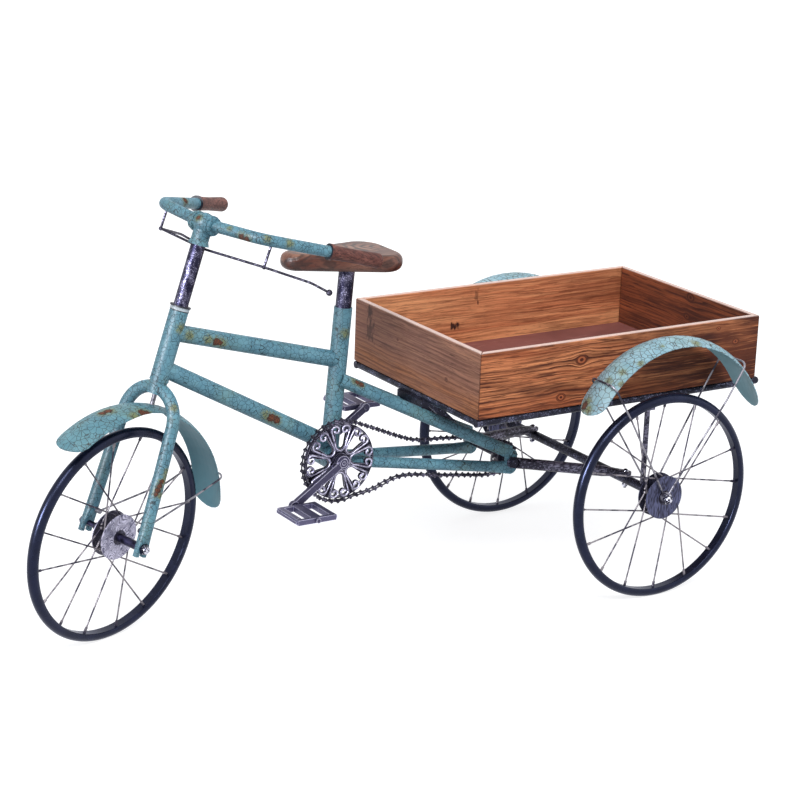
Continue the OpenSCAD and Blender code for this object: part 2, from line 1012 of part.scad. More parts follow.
module stem() {
    color(dark_metal)
        at_steering()
            difference() {
                translate([0, 0, head_low - side_gap])
                    cylinder(h = stem_top - head_low + side_gap, d = stem_d, $fn = round_fn);
                translate([0, 0, head_low + 6])
                    cylinder(h = stem_top - head_low - 12, d = stem_d - 8, $fn = round_fn);
            }
}

clamp_drop = 36;
clamp_d = bar_d + 11;
clamp_half = 24;

// A cast T that holds the bar: a sleeve across, a socket below, and raised rims
module bar_clamp() {
    rim = clamp_d + 4;
    color(paint)
        at_steering()
            difference() {
                union() {
                    translate([0, 0, clamp_h]) {
                        sphere(d = clamp_d + 6, $fn = 48);
                        rotate([-90, 0, 0])
                            translate([0, 0, -clamp_half])
                                cylinder(h = 2 * clamp_half, d = clamp_d, $fn = round_fn);
                    }
                    for (y = [-16, 16])
                        translate([0, y - 2.5, clamp_h])
                            rotate([-90, 0, 0])
                                cylinder(h = 5, d = rim, $fn = round_fn);
                    translate([0, 0, clamp_h - clamp_drop])
                        cylinder(h = clamp_drop, d1 = stem_d + 5, d2 = clamp_d, $fn = round_fn);
                    translate([0, 0, clamp_h - clamp_drop])
                        cylinder(h = 8, d1 = stem_d + 11, d2 = stem_d + 5, $fn = round_fn);
                }
                bar_tube(bar_d);
                translate([0, 0, clamp_h - clamp_drop - over])
                    cylinder(h = stem_top - clamp_h + clamp_drop + over, d = stem_d, $fn = round_fn);
            }
}

bar_sweep = 12;
bar_end_rise = 7;
grip_rise = 18;
bar_path = [
    [bar_back, -grip_half, clamp_h + grip_rise], [bar_sweep, -bar_half, clamp_h + bar_end_rise],
    [0, 0, clamp_h],
    [bar_sweep, bar_half, clamp_h + bar_end_rise], [bar_back, grip_half, clamp_h + grip_rise]
];

module bar_tube(d) {
    wire(bar_path, [0, bar_bend_r, bar_bend_r, bar_bend_r, 0], d, 48);
}

module handlebar() {
    color(paint)
        at_steering()
            difference() {
                bar_tube(bar_d);
                for (side = [0, 1])
                    mirror([0, side, 0])
                        bar(bar_path[4], mix(bar_path[4], bar_path[3], 0.45), bar_d - 2 * tube_wall, over);
            }
}

// A wooden grip pushed over the bar's end: a collar, a slim waist and a domed end
module grip() {
    back = unit(bar_path[4] - bar_path[3]);
    l = grip_len;
    r = grip_d / 2;
    dome = [for (t = [0:15:90]) [r - 6 + 6 * cos(t), l - 6 + 6 * sin(t)]];
    translate(bar_path[4] - back * (l - 3))
        rotate([0, acos(back[2]), atan2(back[1], back[0])])
            rotate_extrude($fn = round_fn)
                polygon(concat(
                    [[bar_d / 2, 0], [r + 1, 0], [r + 1, 6], [r - 0.6, 6.5], [r - 1.2, l * 0.45]],
                    dome,
                    [[0, l], [0, l - 3], [bar_d / 2, l - 3]]
                ));
}

module grip_far() {
    color(walnut)
        at_steering()
            grip();
}

module grip_near() {
    color(walnut)
        at_steering()
            near_side()
                grip();
}

rod_drop = 37;
rod_corner = [bar_sweep + 22, bar_half + 4, clamp_h - rod_drop];
rod_knee = [124, bar_half + 36, clamp_h - rod_drop - 7];
rod_end = [172, grip_half - 27, clamp_h - rod_drop - 17];
rod_middle = [18, 0, clamp_h - clamp_drop - 6];

// The brake rod under the bar: balls at its ends, forged corners, posts up to the bar
module brake_rod() {
    post_top = [bar_sweep + 24, bar_half + 4, clamp_h + bar_end_rise - 6];
    color(dark_metal)
        at_steering() {
            wire([mirror_y(rod_corner), rod_middle, rod_corner], [0, 60, 0], rod_d);
            for (side = [0, 1])
                mirror([0, side, 0]) {
                    wire([rod_corner, rod_knee, rod_end], [0, 50, 0], rod_d);
                    translate(rod_end)
                        sphere(d = 11, $fn = 32);
                    translate(rod_corner)
                        sphere(d = rod_d + 3, $fn = 32);
                    difference() {
                        bar(rod_corner, post_top, rod_d, 0, wire_fn);
                        bar_tube(bar_d);
                    }
                }
        }
}

front_stay_angle = 33;

module front_fender_stay() {
    reach = front_fender_r + wire_d / 2 + 0.2;
    stud_low = front_fender_r + 0.3;
    color(dark_metal)
        at_steering() {
            stay_wire(front_stay_angle, reach, mirror_y(stay_foot), stay_foot);
            for (side = [-1, 1])
                pin(stay_foot[0], stay_foot[2], side * (stay_foot[1] - 3.5), side * stay_seat_y, stay_foot_d);
            difference() {
                translate([0, 0, stud_low])
                    cylinder(h = 40, d = 8, $fn = wire_fn);
                translate([0, 0, crown_z])
                    rotate([90, 0, 90])
                        rotate_extrude($fn = 96)
                            translate([crown_r, 0])
                                circle(d = fork_d, $fn = 48);
                translate([0, 0, crown_z + crown_r - fork_d / 2 + 1])
                    cylinder(h = 60, d = head_d - 2, $fn = round_fn);
            }
        }
}

module front_axle() {
    end = fork_half + tip_t / 2;
    color(bright)
        at_steering() {
            pin(0, 0, -end - nut_h, end + nut_h, axle_d);
            pin(0, 0, -(fork_half - tip_t / 2 - 3), -(hub_w / 2 + side_gap), axle_d + 5);
            for (side = [-1, 1])
                difference() {
                    domed_nut(0, 0, side * end);
                    pin(0, 0, -end - nut_h, end + nut_h, axle_d);
                }
        }
}

// Wheels, about the Y axis

module hoop() {
    lip = hoop_w / 2;
    color(hoop_blue)
        rotate([90, 0, 0])
            rotate_extrude($fn = 180)
                difference() {
                    translate([wheel_r - lip, 0])
                        circle(r = lip, $fn = 48);
                    translate([rim_r - hoop_w, -hoop_w])
                        square([hoop_w, 2 * hoop_w]);
                }
}

disc_t = 3;
barrel_r = 13;
spoke_root_r = 33;
spoke_lean = 62;
ball_d = 6;

// Two discs on a barrel, with a raised boss outside and a cone on the far side
module hub(cone) {
    h = hub_w / 2;
    color(bright)
        rotate([-90, 0, 0])
            difference() {
                rotate_extrude($fn = 96)
                    polygon([
                        [0, -h], [barrel_r, -h], [barrel_r + 2, -h + 0.6], [flange_r - 1, -h + 0.6],
                        [flange_r, -h + 1.2], [flange_r, -h + disc_t], [barrel_r, -h + disc_t],
                        [barrel_r, h - disc_t], [flange_r, h - disc_t], [flange_r, h - 1.2],
                        [flange_r - 1, h - 0.6], [barrel_r + 4, h - 0.6],
                        [barrel_r + 4, h], [cone > 0 ? barrel_r + 2 : axle_d, h + cone * 0.15],
                        [axle_d / 2 + 2.5, h + cone], [0, h + cone]
                    ]);
                cylinder(h = 6 * hub_w, d = axle_d + 2 * run_fit, center = true, $fn = round_fn);
            }
}

// Crossed spokes between the two discs. Alternate spokes start from the near and the
// far disc, and each pair on a disc leans opposite ways, one wire clear of the other.
module spokes() {
    start_y = hub_w / 2 - disc_t - ball_d / 2 - 0.05;
    step = spoke_d + 0.4;
    color(dark_metal)
        intersection() {
            for (i = [0:spoke_n - 1]) {
                side = i % 2 == 0 ? 1 : -1;
                lean = floor(i / 2) % 2 == 0 ? 1 : -1;
                lane = lean > 0 ? 0 : step;
                rim_a = i * 360 / spoke_n;
                root_a = rim_a + lean * spoke_lean;
                root_y = side * (start_y - lane);
                end_y = side * (2.6 - lane);
                root = [spoke_root_r * cos(root_a), root_y, spoke_root_r * sin(root_a)];
                end = [rim_r * cos(rim_a), end_y, rim_r * sin(rim_a)];
                dir = unit(end - root);
                bar(root, end + dir * 3, spoke_d, 0, wire_fn);
                bar(end - dir * 9, end + dir * 3, spoke_d + 2, 0, wire_fn);
                translate(root)
                    sphere(d = ball_d, $fn = 24);
            }
            pin(0, 0, -hub_w, hub_w, 2 * rim_r, 180);
        }
}

module at_near_wheel() {
    translate([rear_x, -track / 2, wheel_r])
        children();
}

module at_far_wheel() {
    translate([rear_x, track / 2, wheel_r])
        children();
}

module front_hoop() {
    at_steering()
        hoop();
}

module front_spokes() {
    at_steering()
        spokes();
}

module front_hub() {
    at_steering()
        hub(30);
}

module near_hoop() {
    at_near_wheel()
        hoop();
}

module near_spokes() {
    at_near_wheel()
        spokes();
}

module near_hub() {
    at_near_wheel()
        hub(0);
}

module far_hoop() {
    at_far_wheel()
        hoop();
}

module far_spokes() {
    at_far_wheel()
        spokes();
}

module far_hub() {
    at_far_wheel()
        mirror([0, 1, 0])
            hub(0);
}

// Drive

ring_r = chain_pitch / 2 / sin(180 / ring_teeth);
sprocket_r = chain_pitch / 2 / sin(180 / sprocket_teeth);
roller_d = 6.2;
link_h = 8.6;
ring_edge = ring_r - link_h / 2 - 0.6;
sprocket_edge = sprocket_r - link_h / 2 - 0.6;
chain_y = -36;
ring_t = 6;

// A stroke of varying half width along a flat path
function side_points(p, w, s) = [
    for (i = [0:len(p) - 1])
        let (
            a = p[max(0, i - 1)],
            b = p[min(len(p) - 1, i + 1)],
            d = unit(b - a)
        )
        p[i] + s * w[i] * [-d[1], d[0]]
];
module stroke(p, w) {
    back = side_points(p, w, -1);
    polygon(concat(side_points(p, w, 1), [for (i = [len(p) - 1:-1:0]) back[i]]));
}

// Half of a heart in the sector about +X: out from its point near the hub, along the
// sector's edge, and round into a scroll
heart_root = 20;
heart_width = 11 * 8 / heart_n;
scroll_r = 9;
heart_out = ring_edge - scroll_r - 1;
heart_path = concat(
    [for (t = [0:18:90]) [heart_root + 14 * (1 - cos(t)), heart_width * sin(t)]],
    [[heart_out - 10, (heart_width + scroll_r * 2) / 2 - 1.2]],
    [
        for (t = [0:24:312])
            let (r = scroll_r * (1 - t / 500))
            [heart_out - 1 + r * sin(t), (heart_width + scroll_r) / 2 - 0.6 + r * cos(t)]
    ]
);
heart_stroke = [for (i = [0:len(heart_path) - 1]) 2.6 - 0.9 * i / len(heart_path)];

module heart() {
    for (m = [0, 1])
        mirror([0, m]) {
            stroke(heart_path, heart_stroke);
            translate(heart_path[len(heart_path) - 1])
                circle(r = 2.3, $fn = 20);
        }
}

// Cast chainring: a thin rim, scrolled hearts and the ribs between them, on a hub
module chainring() {
    color(antique)
        translate([bb_x, chain_y, bb_z])
            rotate([90, 0, 0])
                difference() {
                    union() {
                        translate([0, 0, -ring_t / 2])
                            linear_extrude(ring_t)
                                for (i = [0:heart_n - 1])
                                    rotate(i * 360 / heart_n)
                                        heart();
                        translate([0, 0, -1.8])
                            linear_extrude(3.6) {
                                difference() {
                                    circle(r = ring_edge, $fn = 120);
                                    circle(r = ring_edge - 3, $fn = 120);
                                }
                                for (i = [0:heart_n - 1])
                                    rotate((i + 0.5) * 360 / heart_n)
                                        polygon([
                                            [14, -1.7], [ring_edge - 21, -1.7], [ring_edge - 1.5, -4.2],
                                            [ring_edge - 1.5, 4.2], [ring_edge - 21, 1.7], [14, 1.7]
                                        ]);
                                circle(r = 19, $fn = 64);
                            }
                        cylinder(h = ring_t + 3, d = 30, center = true, $fn = round_fn);
                    }
                    cylinder(h = 60, d = spindle_d, center = true, $fn = round_fn);
                }
}

near_arm_y = chain_y - ring_t / 2 - 2.2;
far_arm_y = shell_half + 5;
arm_t = 9;
arm_splay = 16;
pin_d = 6;
pedal_gap = 3;

function arm_dir(side) = [side * cos(crank_angle), 0, side * sin(crank_angle)];
function arm_end(side, root_y) = [bb_x, root_y, bb_z] + crank_len * arm_dir(side) + [0, side * arm_splay, 0];
near_end = arm_end(-1, near_arm_y);
far_end = arm_end(1, far_arm_y + arm_t);

// A crank arm with a boss at each end and the pedal's pin, root face at root_y
module crank_arm(side, root_y) {
    end = arm_end(side, root_y);
    root = [bb_x, root_y, bb_z];
    v = end - root;
    shank = norm(v);
    difference() {
        union() {
            translate(root)
                rotate([0, -atan2(v[2], v[0]), 0])
                    rotate([0, 0, atan2(v[1], norm([v[0], v[2]]))])
                        translate([0, -arm_t / 2, -6.5])
                            cube([shank, arm_t, 13]);
            pin(bb_x, bb_z, root_y - arm_t / 2, root_y + arm_t / 2, 26);
            pin(end[0], end[2], end[1] - arm_t / 2, end[1] + arm_t / 2, 17);
        }
        pin(bb_x, bb_z, root_y - 20, root_y + 20, spindle_d);
        pin(end[0], end[2], end[1] - 20, end[1] + 20, pin_d);
    }
    pin_end = end[1] + side * (arm_t / 2 + pedal_gap + pedal_w + 2);
    pin(end[0], end[2], end[1] - side * arm_t / 2, pin_end, pin_d);
    pin(end[0], end[2], pin_end, pin_end + side * 2.4, pin_d + 2.6);
}

near_root_y = near_arm_y - arm_t / 2;
far_root_y = far_arm_y + arm_t / 2;

module cranks() {
    color(antique) {
        crank_arm(-1, near_root_y);
        crank_arm(1, far_root_y);
    }
}

module crank_spindle() {
    color(antique)
        difference() {
            union() {
                pin(bb_x, bb_z, near_root_y - arm_t / 2 - 3, far_root_y + arm_t / 2 + 3, spindle_d);
                for (y = [[chain_y + ring_t / 2 + 1.5, -shell_half - side_gap], [shell_half + side_gap, far_arm_y]])
                    pin(bb_x, bb_z, y[0], y[1], 24);
            }
            for (y = [near_root_y - arm_t / 2 - 4, far_root_y + arm_t / 2 + 1])
                pin(bb_x, bb_z, y, y + 3, 6);
        }
}

// A flat pedal with two long slots either side of its pin
module pedal(side, root_y) {
    end = arm_end(side, root_y);
    y0 = end[1] + side * (arm_t / 2 + pedal_gap);
    y1 = y0 + side * pedal_w;
    mid = (y0 + y1) / 2;
    slot_w = (pedal_l - 44) / 2;
    difference() {
        union() {
            translate([end[0], mid, end[2]])
                cube([pedal_l - 6, pedal_w, pedal_t], center = true);
            translate([end[0], mid, end[2]])
                cube([pedal_l, pedal_w - 6, pedal_t - 4], center = true);
        }
        pin(end[0], end[2], y0 - side * over, y1 + side * over, pin_d + 2 * run_fit);
        for (s = [-1, 1])
            translate([end[0] + s * (9 + slot_w / 2), mid, end[2]])
                cube([slot_w, pedal_w - 15, 3 * pedal_t], center = true);
    }
}

module pedal_near() {
    color(antique)
        pedal(-1, near_root_y);
}

module pedal_far() {
    color(antique)
        pedal(1, far_root_y);
}

module sprocket() {
    color(antique)
        translate([drop_x, chain_y, drop_z])
            rotate([90, 0, 0])
                difference() {
                    union() {
                        cylinder(h = 3.6, r = sprocket_edge, center = true, $fn = 96);
                        cylinder(h = 16, d = 26, center = true, $fn = round_fn);
                    }
                    cylinder(h = 40, d = shaft_d + 2 * run_fit, center = true, $fn = round_fn);
                    for (a = [0:60:300])
                        rotate(a)
                            translate([17.5, 0, 0])
                                cylinder(h = 20, d = 6, center = true, $fn = 20);
                }
}

// Route of the chain's middle line in the X-Z plane: round the ring on the front side,
// along the sagging upper run, round the sprocket, and back along the lower run
ring_top_a = 66;
ring_low_a = 292;
wheel_top_a = 82;
wheel_low_a = -96;
function round_point(c, r, a) = [c[0] + r * cos(a), c[1] + r * sin(a)];
ring_c = [bb_x, bb_z];
sprocket_c = [drop_x, drop_z];
upper_run = [[-26, 319], [26, 297], [62, 286], [122, 281], [190, 272]];
lower_run = [[205, 199], [165, 205], [110, 213], [48, 223], [12, 221], [-28, 208]];
chain_route = concat(
    [for (a = [ring_top_a:6.6:ring_low_a + 0.1]) round_point(ring_c, ring_r, a)],
    [for (i = [len(lower_run) - 1:-1:0]) lower_run[i]],
    [for (a = [wheel_low_a:12.7:wheel_top_a + 0.1]) round_point(sprocket_c, sprocket_r, a)],
    [for (i = [len(upper_run) - 1:-1:0]) upper_run[i]]
);
route_n = len(chain_route);
function lap(i) = (i + route_n) % route_n;
// A smooth closed curve through the route's points
function smooth(i, t) =
    let (
        a = chain_route[lap(i - 1)], b = chain_route[lap(i)],
        c = chain_route[lap(i + 1)], d = chain_route[lap(i + 2)]
    )
    0.5 * (2 * b + (c - a) * t + (2 * a - 5 * b + 4 * c - d) * t * t + (3 * b - a - 3 * c + d) * t * t * t);
curve = [for (i = [0:route_n - 1]) for (t = [0:0.125:0.99]) smooth(i, t)];
curve_n = len(curve);
steps = [for (i = [0:curve_n - 1]) norm(curve[(i + 1) % curve_n] - curve[i])];
function sums(v, i = 0, s = 0) = i == len(v) ? [s] : concat([s], sums(v, i + 1, s + v[i]));
reach_at = sums(steps);
chain_len = reach_at[curve_n];
// An even number of links, because inner and outer links alternate
link_n = 2 * round(chain_len / chain_pitch / 2);
function find(s, lo, hi) =
    hi - lo <= 1 ? lo : let (m = floor((lo + hi) / 2)) reach_at[m] > s ? find(s, lo, m) : find(s, m, hi);
function along_chain(s) =
    let (
        i = find(s, 0, curve_n),
        t = (s - reach_at[i]) / steps[i]
    )
    mix(curve[i], curve[(i + 1) % curve_n], t);
pins = [for (k = [0:link_n - 1]) along_chain(k * chain_len / link_n)];

// A link plate: a diamond round each pin and a thin bar between them
module link_plate(l) {
    r = link_h / 2;
    neck = 1.15;
    half = [[l / 2 - r + neck, -neck], [l / 2, -r], [l / 2 + r, 0], [l / 2, r], [l / 2 - r + neck, neck]];
    linear_extrude(plate_thick)
        polygon(concat(half, [for (p = half) [-p[0], -p[1]]]));
}

plate_thick = 1.2;
inner_half = 2.7;

// The whole chain: a roller on each pin, and pairs of plates that alternate inside and
// outside
module chain() {
    color(dark_metal)
        translate([0, chain_y, 0])
            rotate([90, 0, 0])
                for (k = [0:link_n - 1]) {
                    a = pins[k];
                    b = pins[(k + 1) % link_n];
                    outside = k % 2;
                    low = inner_half + outside * plate_thick;
                    translate([a[0], a[1], 0]) {
                        cylinder(h = 2 * inner_half + 4 * plate_thick + 0.6, d = 4.6, center = true, $fn = 16);
                        cylinder(h = 2 * inner_half - 0.4, d = roller_d, center = true, $fn = 16);
                    }
                    translate([(a[0] + b[0]) / 2, (a[1] + b[1]) / 2, 0])
                        rotate(atan2(b[1] - a[1], b[0] - a[0])) {
                            translate([0, 0, low])
                                link_plate(norm(b - a));
                            translate([0, 0, -low - plate_thick])
                                link_plate(norm(b - a));
                        }
                }
}

head_tube();
top_tube();
down_tube();
seat_tube();
bottom_bracket();
seat_post();
saddle();
seat_stay_near();
seat_stay_far();
chain_stay_near();
chain_stay_far();
jackshaft();
stay_bolts();
drawbar_near();
drawbar_far();
axle_beam();
rear_axle();
rear_axle_nuts();
tray_struts();
tray_straps();
tray_rail_near();
tray_rail_far();
tray_front_bar();
tray_crossbars();
board_near();
board_far();
board_front();
board_rear();
floor_panel();
fender_near();
fender_far();
rear_fender_stays();
chain();
fork_crown();
fork_leg_near();
fork_leg_far();
stem();
bar_clamp();
handlebar();
grip_near();
grip_far();
brake_rod();
front_fender();
front_fender_stay();
front_axle();
front_hoop();
front_spokes();
front_hub();
near_hoop();
near_spokes();
near_hub();
far_hoop();
far_spokes();
far_hub();
chainring();
cranks();
crank_spindle();
pedal_near();
pedal_far();
sprocket();
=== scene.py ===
# %% [markdown]
# # A planter made from half a bicycle and a small cart
# The real object is a garden ornament: steel tube under crackled blue-green paint, dark
# hammered iron under the cart, and a pine tray for pots. The solids come from a CAD
# model, so the frame is fixed before Blender starts. What is left to do here is what a
# solid model can't say: paint that cracked as it dried, wood with grain and knots, metal
# that was rubbed, and the fine work that repeats, such as the scrolls of the chainring.

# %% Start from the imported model
import math

import bmesh
import bpy
from mathutils import Matrix, Vector


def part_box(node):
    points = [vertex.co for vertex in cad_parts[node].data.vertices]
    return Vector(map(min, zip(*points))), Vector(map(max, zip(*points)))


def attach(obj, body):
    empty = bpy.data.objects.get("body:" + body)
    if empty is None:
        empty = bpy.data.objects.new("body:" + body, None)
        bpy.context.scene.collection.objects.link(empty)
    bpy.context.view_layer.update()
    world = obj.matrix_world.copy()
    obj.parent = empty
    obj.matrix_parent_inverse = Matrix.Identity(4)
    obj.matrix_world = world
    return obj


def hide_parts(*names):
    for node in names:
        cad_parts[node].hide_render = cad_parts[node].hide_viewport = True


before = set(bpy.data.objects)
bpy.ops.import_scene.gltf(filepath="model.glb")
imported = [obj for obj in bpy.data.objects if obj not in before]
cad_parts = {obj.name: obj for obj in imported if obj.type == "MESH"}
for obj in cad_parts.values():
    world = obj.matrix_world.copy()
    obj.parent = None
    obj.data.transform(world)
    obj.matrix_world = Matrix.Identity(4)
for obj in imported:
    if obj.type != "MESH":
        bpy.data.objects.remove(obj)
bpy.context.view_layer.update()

# %% [markdown]
# ## The camera
# A photograph fixes the camera if enough points of the object are known. The spot, the
# three directions and the focal length below come from such a fit to the three hoops,
# the tray's corners and the tubes' ends. The lens is twice as long as a normal one, which
# is why the far wheel looks hardly smaller.

# %% Camera
EYE = Vector((-2.1647, -3.4706, 1.6050))
AHEAD = Vector((0.5140, 0.8071, -0.2905)).normalized()
LEVEL = Vector((0.8485, -0.5280, 0.0346))
PHOTO_WIDTH, FOCAL_PIXELS, RISE_PIXELS, SENSOR = 800, 2425.4, -2.1, 36
across = (LEVEL - AHEAD * LEVEL.dot(AHEAD)).normalized()
upward = across.cross(AHEAD)
lens_data = bpy.data.cameras.new("photo_camera")
lens_data.sensor_width = SENSOR
lens_data.lens = FOCAL_PIXELS / PHOTO_WIDTH * SENSOR
lens_data.shift_y = RISE_PIXELS / PHOTO_WIDTH
camera = bpy.data.objects.new("photo_camera", lens_data)
camera.matrix_world = Matrix((across, upward, -AHEAD)).transposed().to_4x4()
camera.location = EYE
bpy.context.scene.collection.objects.link(camera)
bpy.context.scene.camera = camera
print("lens", round(lens_data.lens, 1), "mm")

# %% [markdown]
# ## A short way to write nodes
# A node tree is hard to read as code, because each sum needs its own node and link. One
# small class holds a socket and lets Python's own signs add the Math nodes, so that
# `1 - mask` means what it says. The same class serves shaders and geometry, because both
# kinds of tree know the Math node.

# %% Node maths as Python
LINEAR_KNEE = 0.04045


def rgb(red, green, blue):
    """The linear colour of a tone that is written as on a screen, 0 to 255."""
    tones = [c / 255 for c in (red, green, blue)]
    return (*[((c + 0.055) / 1.055) ** 2.4 if c > LINEAR_KNEE else c / 12.92 for c in tones], 1)


class Wire:
    """One socket of a tree."""

    def __init__(self, tree, socket):
        self.tree, self.socket = tree, socket

    def math(self, operation, *terms):
        return self.tree.add("ShaderNodeMath", {"operation": operation}, dict(enumerate(terms)))

    def __add__(self, other):
        return self.math("ADD", self, other)

    def __radd__(self, other):
        return self.math("ADD", other, self)

    def __sub__(self, other):
        return self.math("SUBTRACT", self, other)

    def __rsub__(self, other):
        return self.math("SUBTRACT", other, self)

    def __mul__(self, other):
        return self.math("MULTIPLY", self, other)

    def __rmul__(self, other):
        return self.math("MULTIPLY", other, self)

    def __truediv__(self, other):
        return self.math("DIVIDE", self, other)

    def __rtruediv__(self, other):
        return self.math("DIVIDE", other, self)

    def __pow__(self, other):
        return self.math("POWER", self, other)

    def __rpow__(self, other):
        return self.math("POWER", other, self)

    def least(self, other):
        return self.math("MINIMUM", self, other)

    def most(self, other):
        return self.math("MAXIMUM", self, other)

    def unsigned(self):
        return self.math("ABSOLUTE", self)

    def rest(self):
        """What is left after the whole part: a saw that climbs from 0 to 1 and drops."""
        return self.math("FRACT", self)

    def ramp(self, low, high):
        """0 at low and below, 1 at high and above, smooth between. low may be the larger."""
        ends = {"Value": self, "From Min": low, "From Max": high}
        return self.tree.add("ShaderNodeMapRange", {"interpolation_type": "SMOOTHSTEP"}, ends)


class Tree:
    """A node tree with one method for any node."""

    def __init__(self, nodes_of):
        self.nodes_of = nodes_of

    def add(self, kind, settings=None, inputs=None, output=0):
        node = self.nodes_of.nodes.new(kind)
        for key, value in (settings or {}).items():
            setattr(node, key, value)
        for key, value in (inputs or {}).items():
            self.set(node.inputs[key], value)
        return Wire(self, node.outputs[output])

    def set(self, socket, value):
        if isinstance(value, Wire):
            self.nodes_of.links.new(value.socket, socket)
        else:
            socket.default_value = value

    def vector(self, operation, *terms, output=0, **more):
        inputs = {**dict(enumerate(terms)), **more}
        return self.add("ShaderNodeVectorMath", {"operation": operation}, inputs, output)

    def parts(self, place):
        return [self.add("ShaderNodeSeparateXYZ", None, {0: place}, i) for i in range(3)]

    def joined(self, x, y, z):
        return self.add("ShaderNodeCombineXYZ", None, {0: x, 1: y, 2: z})


print("node maths ready")

# %% [markdown]
# ## A material that is built around one shader
# The stock shader of Blender takes colour, roughness, metal and a normal. Everything here
# works out those four from the place on the object, so no picture has to be wrapped round
# the shapes and the pattern keeps its real size in metres.

# %% Shader tools
class Finish(Tree):
    """A material with one Principled shader."""

    def __init__(self, name, **constants):
        self.material = bpy.data.materials.new(name)
        self.material.use_nodes = True
        super().__init__(self.material.node_tree)
        self.shader = self.nodes_of.nodes["Principled BSDF"]
        for key, value in constants.items():
            self.shader.inputs[key.replace("_", " ")].default_value = value

    def place(self):
        """Where the point is on the object, in metres."""
        return self.add("ShaderNodeTexCoord", output="Object")

    def facing(self):
        return self.add("ShaderNodeNewGeometry", output="Normal")

    def dot(self, a, b):
        return self.vector("DOT_PRODUCT", a, b, output="Value")

    def from_point(self, place, point):
        return self.vector("SUBTRACT", place, tuple(point))

    def stretch(self, place, factors):
        return self.vector("MULTIPLY", place, tuple(factors))

    def noise(self, place, scale, detail=3, distortion=0.0, output=0):
        inputs = {"Vector": place, "Scale": scale, "Detail": detail, "Distortion": distortion}
        return self.add("ShaderNodeTexNoise", None, inputs, output)

    def cells(self, place, scale, feature="F1", output=0):
        inputs = {"Vector": place, "Scale": scale}
        return self.add("ShaderNodeTexVoronoi", {"feature": feature}, inputs, output)

    def mix(self, mask, low, high):
        """The colour low where mask is 0 and high where it is 1."""
        return self.add("ShaderNodeMix", {"data_type": "RGBA"}, {0: mask, 6: low, 7: high}, 2)

    def shiver(self, place, scale, reach):
        """The place, pushed about by up to reach metres."""
        cloud = self.vector("SUBTRACT", self.noise(place, scale, 2, output=1), (0.5, 0.5, 0.5))
        push = self.vector("SCALE", cloud, Scale=2 * reach)
        return self.vector("ADD", place, push)

    def finish(self, colour, roughness, height, depth, strength, **more):
        """Wire the shader; height, depth in metres and strength say how the surface is dented."""
        for key, value in {"Base Color": colour, "Roughness": roughness, **more}.items():
            self.set(self.shader.inputs[key.replace("_", " ")], value)
        dents = {"Strength": strength, "Distance": depth, "Height": height}
        self.set(self.shader.inputs["Normal"], self.add("ShaderNodeBump", None, dents))
        return self.material


print("shader tools ready")

# %% [markdown]
# ## Crackled paint
# Crackle paint shrinks as it dries and splits into plates, dark in the gaps. Cells whose
# edges are drawn give the same look, and a slow shiver of the pattern keeps the plates
# from being straight-sided. The gaps are wide and brown on the sheet of the rear fenders
# and thin and nearly black on the tubes. In places the paint turned olive, and a few
# chips show rusty primer with a dark rim. Those few sit where the photograph shows them,
# as points on the surface with a radius.

# %% Plates and gaps
def crackle(f, place, plate, crisp):
    """The gaps and their wide part, 0 to 1, and a shade for each plate."""
    grit = f.noise(place, 420, 3)
    spread = f.noise(place, 24, 3)
    bent = f.shiver(place, 0.42 / plate, plate * 0.36)
    edge = f.cells(bent, 1 / plate, "DISTANCE_TO_EDGE")
    wide = edge.ramp(0.05 + 0.03 * crisp, 0.012) * (crisp + (1 - crisp) * spread.ramp(0.34, 0.55))
    finer = f.shiver(place, 1.1 / plate, plate * 0.25)
    hairs = f.cells(finer, 1.9 / plate, "DISTANCE_TO_EDGE").ramp(0.09, 0.02)
    gaps = wide.most(hairs * spread.ramp(0.42, 0.62) * 0.5) * (0.7 + 0.3 * grit.ramp(0.35, 0.55))
    plates = f.add("ShaderNodeSeparateColor", None, {0: f.cells(bent, 1 / plate, output=1)})
    return gaps, wide, plates, grit


def nearest(f, place, spots):
    """The distance to the nearest spot, in that spot's own radii."""
    found = None
    for point, radius in spots:
        away = f.vector("DISTANCE", place, tuple(point), output="Value") / radius
        found = away if found is None else found.least(away)
    return found


print("crackle ready")

# %% Crackle paint
BLOOM_REACH, CHIP_HALO = 0.7, 1.2
PATINA, PATINA_GAP = rgb(122, 148, 108), rgb(88, 86, 44)
BLACK_GAP, BROWN_GAP = rgb(26, 46, 54), rgb(98, 82, 66)
OLIVES = (rgb(142, 138, 64), rgb(88, 98, 48))
PRIMERS, CHIP_RIM = (rgb(60, 30, 20), rgb(120, 64, 30)), rgb(42, 26, 22)
UNDERSIDES, PALE_UNDERSIDE = (rgb(84, 132, 148), rgb(98, 150, 164)), rgb(146, 190, 200)


